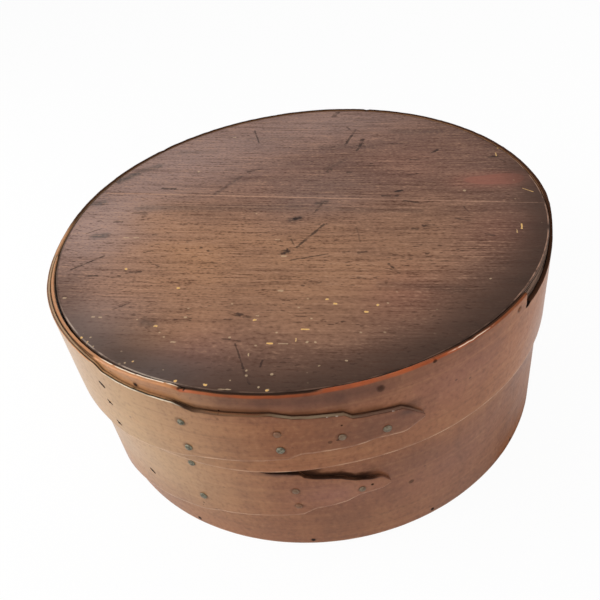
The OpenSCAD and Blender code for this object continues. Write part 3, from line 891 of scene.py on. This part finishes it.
def make_seam_nails(iron):
    forms = [(on_lid_lap(a, z, BAND_T - NAIL_SUNK), seam_nail(LID_NAIL_SEED + i), 0)
             for i, (a, z) in enumerate(LID_SEAM_PLACES)]
    make_fasteners("lid_nails", "lid", "lid_seam_nails", iron, forms)
    forms = [(outward(a, box_wall(a, z) - NAIL_SUNK, z), seam_nail(BOX_NAIL_SEED + i), 0)
             for i, (a, z) in enumerate(BOX_SEAM_PLACES)]
    make_fasteners("box_nails", "box", "box_seam_nails", iron, forms)


def brad_forms(places, z, end, is_double, wall, seed):
    """Brads round a band, further out where it is double."""
    forms = []
    for i, (a, dirt) in enumerate(places):
        f = float(folded(a))
        out = LAYER * float(climbed(f, end)) if f < end or is_double(f) else 0
        head = nail_head(BRAD_HEAD_D, BRAD_L, seed + i)
        forms.append((outward(a, float(wall(f)) + out - BRAD_SUNK, z), head, dirt))
    return forms


def make_rim_brads(iron):
    forms = brad_forms(LID_BRADS, LID_BRAD_Z, LID_END, lambda f: lid_edge(LID_UPPER, f) > LID_BRAD_Z,
                       lambda f: LID_IN_R + swell(f, LID_BRAD_Z) + BAND_T, RIM_BRAD_SEED)
    make_fasteners("rim_brads", "lid", "lid_brads", iron, forms)


def make_foot_brads(iron):
    forms = brad_forms(BOTTOM_BRADS, BOTTOM_BRAD_Z, BOX_END,
                       lambda f: box_edge(BOX_LOWER, f) < BOTTOM_BRAD_Z, lambda f: BOX_R, FOOT_BRAD_SEED)
    make_fasteners("foot_brads", "box", "bottom_brads", iron, forms)


# Materials

BOARD_GLOSS, PLAIN_GLOSS, IRON_GLOSS = 0.05, 0.2, 0.08
SHEEN, SHEEN_ROUGHNESS = 0.12, 0.2

# Middle of the three noises that make up the lid board's weave
WEAVE_MID = 1.4


def tone(red, green, blue):
    """Linear colour with alpha from red, green and blue as a picture shows them, 0 to 255."""
    parts = [c / 255 for c in (red, green, blue)]
    return tuple(p / 12.92 if p <= 0.04045 else ((p + 0.055) / 1.055) ** 2.4 for p in parts) + (1.0,)


class Nodes:
    """Short forms for building a node tree."""

    def __init__(self, tree):
        self.nodes, self.links = tree.nodes, tree.links

    def put(self, socket, value):
        """Link a socket to another, or set it."""
        if isinstance(value, bpy.types.NodeSocket):
            self.links.new(value, socket)
        else:
            socket.default_value = value

    def new(self, kind, inputs, **settings):
        node = self.nodes.new("ShaderNode" + kind)
        for key, value in settings.items():
            setattr(node, key, value)
        for key, value in inputs.items():
            self.put(node.inputs[key], value)
        return node.outputs

    def add(self, kind, inputs, out=0, **settings):
        return self.new(kind, inputs, **settings)[out]

    def math(self, operation, a, b=0):
        return self.add("Math", {0: a, 1: b}, operation=operation)

    def both(self, *values):
        return reduce(partial(self.math, "MULTIPLY"), values)

    def either(self, *values):
        return reduce(partial(self.math, "MAXIMUM"), values)

    def plus(self, *values):
        return reduce(partial(self.math, "ADD"), values)

    def minus(self, a, b):
        return self.math("SUBTRACT", a, b)

    def less(self, a):
        """What is left of 1."""
        return self.minus(1, a)


class Surface(Nodes):
    """Nodes of one material, and its colour so far."""

    def __init__(self, name):
        self.material = bpy.data.materials.new(name)
        self.material.use_nodes = True
        super().__init__(self.material.node_tree)
        self.shader = self.nodes["Principled BSDF"].inputs
        self.colour = None

    def read(self, name):
        return self.add("Attribute", {}, "Vector", attribute_name=name)

    def value(self, name):
        return self.add("Attribute", {}, "Fac", attribute_name=name)

    def parts(self, vector):
        return list(self.new("SeparateXYZ", {0: vector}))

    def step(self, value, low, high, to_low=0, to_high=1):
        """Smooth change between two numbers as a value goes from low to high."""
        inputs = {"Value": value, "From Min": low, "From Max": high, "To Min": to_low, "To Max": to_high}
        return self.add("MapRange", inputs, interpolation_type="SMOOTHSTEP")

    def mix(self, share, a, b):
        """Mix of two colours, each a socket or a tone."""
        a, b = [tone(*shade) if isinstance(shade, tuple) else shade for shade in (a, b)]
        return self.add("Mix", {0: share, 6: a, 7: b}, 2, data_type="RGBA", clamp_factor=True)

    def paint(self, shade, *shares):
        """Lay a shade over the colour so far, by the product of some shares."""
        self.colour = self.mix(self.both(*shares), self.colour, shade)

    def stretch(self, vector, factors):
        return self.add("VectorMath", {0: vector, 1: factors}, operation="MULTIPLY")

    def noise(self, vector, factors, detail, distortion=0):
        """Noise with about so many waves to the metre along each axis."""
        place = self.stretch(vector, factors)
        inputs = {"Vector": place, "Scale": 1, "Detail": detail, "Distortion": distortion}
        return self.add("TexNoise", inputs, "Fac")

    def specks(self, vector, factors, size, softness, few):
        """Scattered dots, in the few cells whose colour is reddest."""
        place = self.stretch(vector, factors)
        cells = self.new("TexVoronoi", {"Vector": place, "Scale": 1, "Randomness": 1})
        dots = self.step(cells["Distance"], size, size - softness)
        return self.both(dots, self.step(self.parts(cells["Color"])[0], few, few + 0.04))

    def curve(self, value, corners):
        """Straight lines through a list of corners, each within 0 and 1."""
        node = self.nodes.new("ShaderNodeFloatCurve")
        line = node.mapping.curves[0]
        inside = [c for c in corners if 0 <= c[0] <= 1]
        if inside[0][0] > 0:
            inside = [(0, float(outline_at(corners, 0)))] + inside
        line.points[0].location = inside[0]
        line.points[-1].location = inside[-1]
        for corner in inside[1:-1]:
            line.points.new(*corner)
        for point in line.points:
            point.handle_type = "VECTOR"
        node.mapping.update()
        self.put(node.inputs["Value"], value)
        return node.outputs[0]

    def along(self, value, stops):
        """Colour that changes along a value, from stops of place and tone."""
        node = self.nodes.new("ShaderNodeValToRGB")
        line = node.color_ramp
        line.elements[0].position, line.elements[0].color = stops[0][0], tone(*stops[0][1])
        line.elements[1].position, line.elements[1].color = stops[-1][0], tone(*stops[-1][1])
        for place, shade in stops[1:-1]:
            line.elements.new(place).color = tone(*shade)
        self.put(node.inputs[0], value)
        return node.outputs[0]

    def stroke(self, name, softness, waver):
        """Mask of the nearest mark whose place is kept in an attribute."""
        c, d, half = self.parts(self.read(name))
        past = self.either(self.minus(self.math("ABSOLUTE", c), half), 0)
        square = self.plus(self.both(past, past), self.both(d, d))
        distance = self.plus(self.math("SQRT", square), waver)
        return self.both(self.step(distance, 1 + softness, 1 - softness), self.value(name + "_strength"))

    def finish(self, roughness, height, depth_mm, gloss):
        bump = self.add("Bump", {"Height": height, "Distance": depth_mm * MM, "Strength": 1})
        inputs = {"Base Color": self.colour, "Roughness": roughness, "Normal": bump,
                  "Specular IOR Level": gloss}
        for name, value in inputs.items():
            self.put(self.shader[name], value)
        return self.material


def lid_board_material():
    """Dark, scratched varnish on pine, worn paler in the middle, with a bare underside."""
    s = Surface("old varnished board")
    grain = s.read("grain")
    dark_zone, warm_zone, red_zone = s.parts(s.read("zones"))
    grey_and_sheen_zone, speck_zone, bright_edge = s.parts(s.read("veils"))
    cloud = s.noise(grain, (28, 55, 20), 4)
    streak = s.noise(grain, (16, 210, 20), 3, 0.4)
    rings = s.noise(grain, (30, 860, 10), 1, 0.3)
    dashes = s.noise(grain, (150, 1000, 30), 1)
    fine = s.noise(grain, (640, 1350, 40), 1)

    # Ground and its zones
    s.colour = s.mix(s.step(cloud, 0.3, 0.7), (110, 81, 70), (132, 99, 85))
    # Greyer patches, partly a painted sheen of the varnish
    s.paint((172, 146, 137), grey_and_sheen_zone, 0.8)
    s.paint((170, 126, 94), warm_zone, s.step(cloud, 0.2, 0.75, 0.6, 1))
    patch = s.step(red_zone, 0.44, 0.62, 0, 0.75)
    s.paint((150, 95, 80), s.either(s.both(s.math("MINIMUM", red_zone, 0.35), 0.9), patch))
    blur = s.step(dashes, 0.3, 0.7, -0.3, 0.3)
    s.paint(s.mix(grey_and_sheen_zone, (62, 50, 46), (88, 84, 82)), s.stroke("stain", 0.8, blur))
    dark_edge = s.both(dark_zone, s.step(cloud, 0.15, 0.8, 1, 0.85))
    s.paint(s.mix(grey_and_sheen_zone, (58, 44, 37), (70, 62, 58)), dark_edge)

    # Weave of the grain, fainter in the dark border and in the red patch
    lit = s.both(s.step(dark_edge, 0.1, 0.9, 1, 0.4), s.less(s.both(patch, 0.95)))
    lit = s.both(lit, s.step(grey_and_sheen_zone, 0, 1, 1, 0.76))
    glow = s.both(s.step(dark_edge, 0.1, 0.7, 1, 0.06), s.less(patch))
    s.paint((76, 48, 38), s.step(streak, 0.48, 0.75, 0, 0.35), lit)
    weave = s.plus(rings, s.both(dashes, 0.8), fine)
    scuffs = s.noise(grain, (420, 620, 60), 3)
    kept = s.both(s.minus(weave, WEAVE_MID), s.step(speck_zone, 0, 1, 1, 0.35))
    scuffed = s.both(s.minus(scuffs, 0.5), speck_zone, 1.3)
    weave = s.plus(WEAVE_MID, kept, scuffed)
    s.paint((72, 44, 33), s.step(weave, 1.36, 1.92, 0, 0.88), lit)
    s.paint((186, 144, 117), s.step(weave, WEAVE_MID, 0.9, 0, 0.55), glow)
    pores = s.step(s.noise(grain, (300, 900, 60), 1), 0.63, 0.7)
    pores = s.both(pores, s.step(s.noise(grain, (30, 60, 20), 2), 0.42, 0.6, 0.05, 1))
    s.paint((44, 26, 21), pores, lit, 0.7)

    # Scars, pale lines and flecks
    waver = s.step(s.noise(grain, (700, 700, 100), 2), 0.25, 0.75, -0.4, 0.4)
    breaks = s.step(s.noise(grain, (280, 280, 60), 2), 0.36, 0.52, 0.3, 1)
    scars = s.both(s.stroke("mark", 0.45, waver), breaks, s.step(grey_and_sheen_zone, 0.2, 1, 0.9, 0.72))
    s.paint((38, 29, 27), scars)
    s.paint((182, 142, 118), s.stroke("line", 0.6, waver), s.step(streak, 0.35, 0.6))
    specks = s.both(s.specks(grain, (230, 260, 60), 0.17, 0.09, 0.86), speck_zone, 0.8)
    flecks = s.either(s.stroke("fleck", 0.35, s.plus(waver, 0.15)), specks)
    s.paint(s.mix(s.step(flecks, 0.55, 0.75), (212, 184, 148), (228, 180, 108)), flecks)

    # Side, underside and arris
    side = s.less(s.value("upward"))
    side_grain = s.noise(grain, (40, 40, 1500), 2)
    s.paint(s.mix(s.step(side_grain, 0.38, 0.62), (36, 27, 22), (118, 94, 80)), side)
    bare = s.mix(s.step(streak, 0.3, 0.7), (132, 96, 68), (158, 120, 88))
    bare = s.mix(s.step(weave, WEAVE_MID, 1.95, 0, 0.7), bare, (104, 72, 50))
    s.paint(bare, s.value("downward"))
    rimward = s.value("rimward")
    arris = s.both(s.step(rimward, 0.95, 0.75), s.step(rimward, 0.25, 0.45))
    worn = s.both(arris, bright_edge, s.step(s.noise(grain, (140, 140, 60), 3), 0.35, 0.6))
    s.paint((54, 40, 33), s.step(rimward, 1.3, 0.7), s.less(bright_edge))
    s.paint(s.mix(grey_and_sheen_zone, (184, 144, 122), (190, 176, 160)), worn, 0.7)
    gleam = s.plus(s.both(cloud, 0.5), s.both(fine, 0.5))
    roughness = s.either(s.step(gleam, 0.3, 0.7, 0.5, 0.65), side)
    relief = s.minus(s.both(weave, 0.5), s.both(s.either(pores, scars), 0.9))
    return s.finish(roughness, relief, depth_mm=0.05, gloss=BOARD_GLOSS)


def band_wood(s, grain):
    """Paint the varnished strip, and give the noises that it is made of."""
    pale_zone, dark_zone, red_zone = s.parts(s.read("zones"))
    broad = s.noise(grain, (16, 24, 20), 3)
    mottle = s.noise(grain, (120, 40, 30), 3, 0.3)
    fine = s.noise(grain, (540, 460, 60), 3)
    fibre = s.noise(grain, (24, 900, 60), 2)
    streak = s.noise(grain, (7, 340, 40), 2, 0.2)
    s.colour = s.mix(s.step(broad, 0.35, 0.65), (129, 80, 52), (146, 94, 62))
    s.paint((170, 135, 95), pale_zone, s.step(broad, 0.2, 0.8, 0.8, 1))
    s.paint((166, 104, 62), s.value("warm"), 0.5)
    s.paint((137, 90, 77), red_zone, 0.8)
    calm = s.step(pale_zone, 0, 1, 1, 0.8)
    s.paint((98, 60, 40), s.step(mottle, 0.5, 0.75, 0, 0.2), calm)
    s.paint((178, 128, 86), s.step(mottle, 0.5, 0.25, 0, 0.14))
    s.paint((92, 57, 38), s.step(fine, 0.5, 0.75, 0, 0.38), calm)
    s.paint((190, 144, 102), s.step(fine, 0.5, 0.25, 0, 0.14))
    s.paint((98, 61, 41), s.step(fibre, 0.5, 0.85, 0, 0.28))
    faint = s.step(pale_zone, 0, 1, 1, 0.5)
    s.paint((96, 58, 38), s.step(streak, 0.52, 0.75, 0, 0.22), faint)
    s.paint((184, 134, 92), s.step(streak, 0.48, 0.25, 0, 0.16))
    # Dark zones: darker patches, and on the box the painted shadow under the lid's edge
    s.paint((72, 44, 34), dark_zone, s.step(mottle, 0.3, 0.7, 0.75, 1))
    s.paint((60, 38, 28), s.specks(grain, (150, 190, 60), 0.14, 0.09, 0.8), 0.6)
    return broad, mottle, fine, fibre


# Tones along a finger's upper side, then along the arris below it, with painted shade and highlights: share
# of the way from root to tip, tone
# On the lid, painted shade fills the groove near the root, and pale dust with a painted highlight lies
# further on
LID_STRIP_DUST_AND_SHADE = [
    (0, (105, 82, 70)), (0.1, (60, 46, 38)), (0.16, (30, 22, 18)), (0.38, (30, 22, 18)),
    (0.42, (48, 37, 31)), (0.47, (112, 86, 68)), (0.56, (124, 94, 70)), (0.62, (116, 90, 68)),
    (0.66, (150, 132, 108)), (0.8, (144, 125, 102)), (0.84, (118, 93, 78)), (1, (126, 98, 84))]
# Tan wear at the root, then a painted highlight, then painted shade under the lip
LID_ARRIS_WEAR_HIGHLIGHT_AND_SHADE = [
    (0, (186, 130, 86)), (0.12, (186, 130, 86)), (0.2, (218, 206, 184)), (0.38, (214, 200, 176)),
    (0.42, (60, 42, 34)), (0.48, (88, 62, 48)), (0.56, (92, 62, 46)), (0.66, (84, 54, 40)),
    (1, (84, 54, 42))]
# On the box, grime and painted shade where the finger comes out from under the lid
BOX_STRIP_GRIME_AND_SHADE = [
    (0, (112, 82, 58)), (0.58, (104, 74, 52)), (0.66, (46, 32, 25)), (0.95, (40, 26, 20)),
    (0.98, (110, 74, 58)), (1, (116, 80, 64))]
# The same on the box's arris
BOX_ARRIS_GRIME_AND_SHADE = [
    (0, (150, 112, 80)), (0.58, (140, 102, 72)), (0.66, (66, 45, 36)), (0.95, (70, 48, 40)),
    (0.98, (128, 92, 76)), (1, (136, 100, 84))]

# Grime and painted shade above a finger: shares at which it begins and ends, reach, strength, tone
LID_GRIME_AND_SHADE = (0.36, 0.98, 3, 0.5, (84, 54, 38))
BOX_GRIME_AND_SHADE = (0.58, 0.955, 6.5, 0.9, (36, 21, 16))


def band_material(name, height, outlines, grime_and_shade_kind, strip, arris_wear_light_and_shade):
    """Varnished bentwood. The finger's edge lines place the grime, the painted shade and highlights, and
    the wear.
    """
    s = Surface(name)
    grain = s.read("grain")
    low_edge, top_edge, arris = s.parts(s.read("edges"))
    orange, tan, dark = s.parts(s.read("rim"))
    share, z_share, on_finger = s.parts(s.read("lap"))
    inside = s.value("inside")
    broad, mottle, fine, fibre = band_wood(s, grain)
    z = s.both(z_share, CLOSED_H)
    upper, lower = [s.plus(s.both(s.curve(share, o), height[1]), height[0]) for o in outlines]
    over = s.minus(z, upper)
    under = s.minus(lower, z)

    # Grime and painted shade along the finger's edges: a soft patch and a crease above, and a darker line
    # just below
    grime_and_shade_from, grime_and_shade_to, grime_and_shade_reach, grime_and_shade_strength, grime_and_shade_tone = grime_and_shade_kind
    along = s.both(s.step(share, grime_and_shade_from, grime_and_shade_from + 0.08),
                   s.step(share, grime_and_shade_to + 0.03, grime_and_shade_to - 0.03))
    patchy = s.noise(grain, (110, 170, 60), 3)
    reach = s.step(patchy, 0.35, 0.65, 0.5 * grime_and_shade_reach, 1.3 * grime_and_shade_reach)
    grime_and_shade = s.both(s.step(s.math("DIVIDE", over, reach), 1, 0.2), s.step(over, -0.5, 0))
    along = s.both(along, s.less(on_finger))
    grime_and_shade = s.both(grime_and_shade, along)
    s.paint(grime_and_shade_tone, grime_and_shade, grime_and_shade_strength)
    # Painted shade and grime in a crease just above the finger's edge
    crease = s.both(s.step(over, 0.9, 0.2), s.step(over, -0.5, 0), along)
    s.paint((48, 31, 24), crease, 0.7)
    # A darker line just below the finger's lower edge
    below = s.both(s.step(under, 1, 0), s.step(under, -0.3, 0), along)
    s.paint((70, 44, 34), below, 0.4)

    # Stains and the slits' painted shade round the fasteners, worn low edge, and the rim's tones with
    # painted shade in its crevice
    uneven = s.step(patchy, 0.3, 0.7, -0.3, 0.3)
    stain = s.stroke("nail", 0.4, uneven)
    s.paint((44, 28, 24), stain)
    wear = s.noise(grain, (130, 130, 60), 3)
    s.paint((192, 150, 118), low_edge, s.step(wear, 0.4, 0.62, 0.08, 0.7))
    on_rim = s.both(top_edge, s.less(on_finger))
    # The rim's dark share, where it is neither orange nor tan, with painted shade in the crevice at the
    # left
    s.paint((50, 34, 27), on_rim, dark, 0.9)
    s.paint((186, 124, 74), on_rim, tan, s.step(wear, 0.3, 0.6, 0.55, 0.95))
    bare = s.both(orange, s.step(wear, 0.3, 0.5, 0.55, 0.95))
    s.paint(s.mix(s.step(patchy, 0.35, 0.65), (146, 69, 34), (168, 82, 40)), on_rim, bare)

    # The finger's upper side, whose inner half is clean along part of its length, with dust, grime and
    # painted shade, and its arris with painted highlights and shade
    on_tongue = s.both(top_edge, on_finger)
    deep = s.math("DIVIDE", s.parts(grain)[2], BAND_T * MM)
    full = s.either(s.both(s.step(share, 0.36, 0.4), s.step(share, 0.5, 0.45)), s.step(share, 0.58, 0.64))
    outside = s.either(s.step(deep, 0.35, 0.6), full)
    ledge = s.both(on_tongue, outside, s.step(deep, 0.98, 0.88))
    s.paint(s.along(share, strip), ledge, s.step(patchy, 0.3, 0.6, 0.75, 0.97))
    arris_line = s.both(s.step(arris, 0.3, 0.7), on_tongue)
    s.paint(s.along(share, arris_wear_light_and_shade), arris_line, s.step(wear, 0.36, 0.56, 0.4, 0.95))
    crumbs = s.noise(grain, (330, 330, 60), 2)
    # Painted glints on the arris towards the finger's tip
    glint = s.both(arris_line, s.step(share, 0.7, 0.76), s.step(crumbs, 0.62, 0.68))
    s.paint((190, 174, 160), glint, 0.7)
    # Painted highlight along stretches of the rim
    shine = s.both(s.value("shine"), on_rim, s.step(crumbs, 0.3, 0.48))
    s.paint((255, 236, 210), shine, 0.95)

    # Small holes and spots, painted dark with the shade inside the holes, and the bare inside
    spot = s.stroke("spot", 0.35, uneven)
    s.paint((24, 17, 15), spot)
    raw = s.mix(s.step(broad, 0.3, 0.7), (150, 112, 80), (172, 132, 98))
    raw = s.mix(s.step(fibre, 0.45, 0.85, 0, 0.4), raw, (110, 78, 54))
    s.paint(raw, inside, s.less(s.either(low_edge, top_edge)))

    s.shader["Sheen Weight"].default_value = SHEEN
    s.shader["Sheen Roughness"].default_value = SHEEN_ROUGHNESS
    matt = s.either(s.both(grime_and_shade, grime_and_shade_strength), ledge, spot, stain, s.both(on_rim, dark))
    roughness = s.step(s.plus(broad, s.both(fine, 0.4)), 0.4, 1, 0.3, 0.42)
    roughness = s.either(roughness, s.both(s.either(inside, matt), 0.75))
    relief = s.plus(s.both(fine, 0.6), s.both(mottle, 0.6))
    return s.finish(roughness, relief, depth_mm=0.05, gloss=s.both(s.value("gloss"), s.less(matt)))


def bottom_material():
    s = Surface("bare old softwood")
    grain = s.read("grain")
    streak = s.noise(grain, (8, 210, 20), 4, 0.25)
    rings = s.noise(grain, (2, 520, 10), 1, 0.15)
    fine = s.noise(grain, (60, 1600, 40), 2)
    cloud = s.noise(grain, (26, 34, 20), 3)
    s.colour = s.mix(s.step(streak, 0.3, 0.7), (150, 114, 82), (176, 138, 102))
    s.paint((122, 86, 58), s.step(rings, 0.55, 0.75, 0, 0.5))
    s.paint((108, 78, 54), s.step(fine, 0.5, 0.85, 0, 0.35))
    s.paint((112, 82, 62), s.step(cloud, 0.5, 0.75, 0, 0.45))
    s.paint((78, 54, 40), s.step(s.value("rimward"), 9, 0.5), 0.55)
    roughness = s.step(fine, 0.3, 0.7, 0.6, 0.78)
    relief = s.plus(s.both(fine, 0.5), s.both(rings, 0.6))
    return s.finish(roughness, relief, depth_mm=0.06, gloss=PLAIN_GLOSS)


# Metals: waves to the metre of patches and grit, tones of the patches, grit and dirt, and how each sets in
COPPER = {"scales": (900, 4000), "patch_tones": ((82, 79, 66), (132, 129, 111)), "patch_ends": (0.35, 0.65),
          "grit_tone": (62, 50, 40), "grit_ends": (0.5, 0.75, 0, 0.6), "dirt_tone": (122, 84, 62),
          "roughness": (0.4, 0.65), "metallic": 0.35, "depth_mm": 0.08, "gloss": PLAIN_GLOSS}
IRON = {"scales": (1200, 5000), "patch_tones": ((30, 22, 20), (62, 40, 30)), "patch_ends": (0.4, 0.7),
        "grit_tone": (84, 52, 36), "grit_ends": (0.55, 0.8, 0, 0.5), "dirt_tone": (130, 84, 58),
        "roughness": (0.55, 0.8), "metallic": 0.1, "depth_mm": 0.1, "gloss": IRON_GLOSS}


def metal_material(name, scales, patch_tones, patch_ends, grit_tone, grit_ends, dirt_tone,
                   roughness, metallic, depth_mm, gloss):
    """Patchy, gritty metal, hidden by dirt on some heads."""
    s = Surface(name)
    place = s.add("TexCoord", {}, "Object")
    patch, grit = s.noise(place, (scales[0],) * 3, 3), s.noise(place, (scales[1],) * 3, 2)
    s.colour = s.mix(s.step(patch, *patch_ends), *patch_tones)
    s.paint(grit_tone, s.step(grit, *grit_ends))
    s.paint(dirt_tone, s.value("dirt"))
    s.shader["Metallic"].default_value = metallic
    return s.finish(s.step(patch, 0.3, 0.7, *roughness), s.plus(patch, s.both(grit, 0.4)), depth_mm, gloss)


# Stage: floor, light and camera

WHITE, FLOOR_TONE = (1, 1, 1, 1), (0.85, 0.85, 0.85, 1)
WORLD_LEVEL = 0.4
FLOOR_GLOW, FLOOR_REACH = 0.95, 20

# Lamps: place, size, power. Point that they shine on
LAMPS = {"key": ((-0.66, -0.04, 0.35), 0.72, 5.5), "front": ((0.3, -0.85, 0.5), 0.6, 2.6),
         "right": ((0.75, 0.1, 0.35), 0.5, 1.9), "back": ((-0.2, 0.8, 0.7), 0.7, 0.5)}
LAMP_AIM = (0, 0, 0.06)


def seen_directly(tree):
    """1 for rays that show the background itself: from the camera, in a gloss or through glass."""
    rays = tree.new("LightPath", {})
    return tree.either(rays["Is Camera Ray"], rays["Is Glossy Ray"], rays["Is Transmission Ray"])


def make_world():
    world = bpy.data.worlds.new("studio")
    bpy.context.scene.world = world
    world.use_nodes = True
    tree = Nodes(world.node_tree)
    background = tree.nodes["Background"].inputs
    background["Color"].default_value = WHITE
    tree.put(background["Strength"], tree.add("Mix", {0: seen_directly(tree), 2: WORLD_LEVEL, 3: 1}))


def make_floor():
    corners = [(x * FLOOR_REACH, y * FLOOR_REACH, 0) for x, y in ((-1, -1), (1, -1), (1, 1), (-1, 1))]
    mesh = bpy.data.meshes.new("floor")
    mesh.from_pydata(corners, [], [(0, 1, 2, 3)])
    floor = new_object("floor", mesh)
    material = bpy.data.materials.new("pale floor")
    material.use_nodes = True
    tree = Nodes(material.node_tree)
    tree.nodes.remove(tree.nodes["Principled BSDF"])
    matt = tree.add("BsdfDiffuse", {"Color": FLOOR_TONE})
    glow = tree.add("Emission", {"Color": WHITE})
    shown = tree.add("MixShader", {0: tree.both(seen_directly(tree), FLOOR_GLOW), 1: matt, 2: glow})
    tree.put(tree.nodes["Material Output"].inputs["Surface"], shown)
    mesh.materials.append(material)


def aim(thing, place, target, roll=0):
    """Put a lamp or camera in its place, turned to a target."""
    thing.location = place
    look = (Vector(target) - Vector(place)).to_track_quat("-Z", "Y")
    thing.rotation_mode = "QUATERNION"
    thing.rotation_quaternion = look @ Matrix.Rotation(math.radians(roll), 3, "Z").to_quaternion()


def make_lamp(name, place, size, power):
    data = bpy.data.lights.new(name, "AREA")
    data.shape = "DISK"
    data.size = size
    data.energy = power
    lamp = new_object(name, data)
    aim(lamp, place, LAMP_AIM)
    lamp.visible_camera = False


# Camera of the photograph: place, aim, roll in degrees and focal length for a 36 mm wide picture
CAMERA_PLACE, CAMERA_AIM = (0, -0.26934, 0.26552), (-0.004715, 0, 0.045126)
CAMERA_ROLL = -9.088
CAMERA_LENS, SENSOR_WIDTH, CLIP_START = 39.84, 36, 0.01


def make_camera():
    data = bpy.data.cameras.new("camera")
    data.sensor_width = SENSOR_WIDTH
    data.lens = CAMERA_LENS
    data.clip_start = CLIP_START
    camera = new_object("camera", data)
    aim(camera, CAMERA_PLACE, CAMERA_AIM, CAMERA_ROLL)
    bpy.context.scene.camera = camera


make_lid_board(lid_board_material())
make_lid_band(band_material("lid bentwood", (LID_Z, LID_H), (LID_UPPER, LID_LOWER),
                            LID_GRIME_AND_SHADE, LID_STRIP_DUST_AND_SHADE, LID_ARRIS_WEAR_HIGHLIGHT_AND_SHADE))
make_box_band(band_material("box bentwood", (0, BOX_H), (BOX_UPPER, BOX_LOWER),
                            BOX_GRIME_AND_SHADE, BOX_STRIP_GRIME_AND_SHADE, BOX_ARRIS_GRIME_AND_SHADE))
make_bottom_board(bottom_material())
copper = metal_material("copper under verdigris", **COPPER)
iron = metal_material("dark rusted iron", **IRON)
make_lid_tacks(copper)
make_box_tacks(copper)
make_seam_nails(iron)
make_rim_brads(iron)
make_foot_brads(iron)
make_world()
make_floor()
for name, lamp in LAMPS.items():
    make_lamp(name, *lamp)
make_camera()
bpy.context.scene.view_settings.view_transform = "Standard"
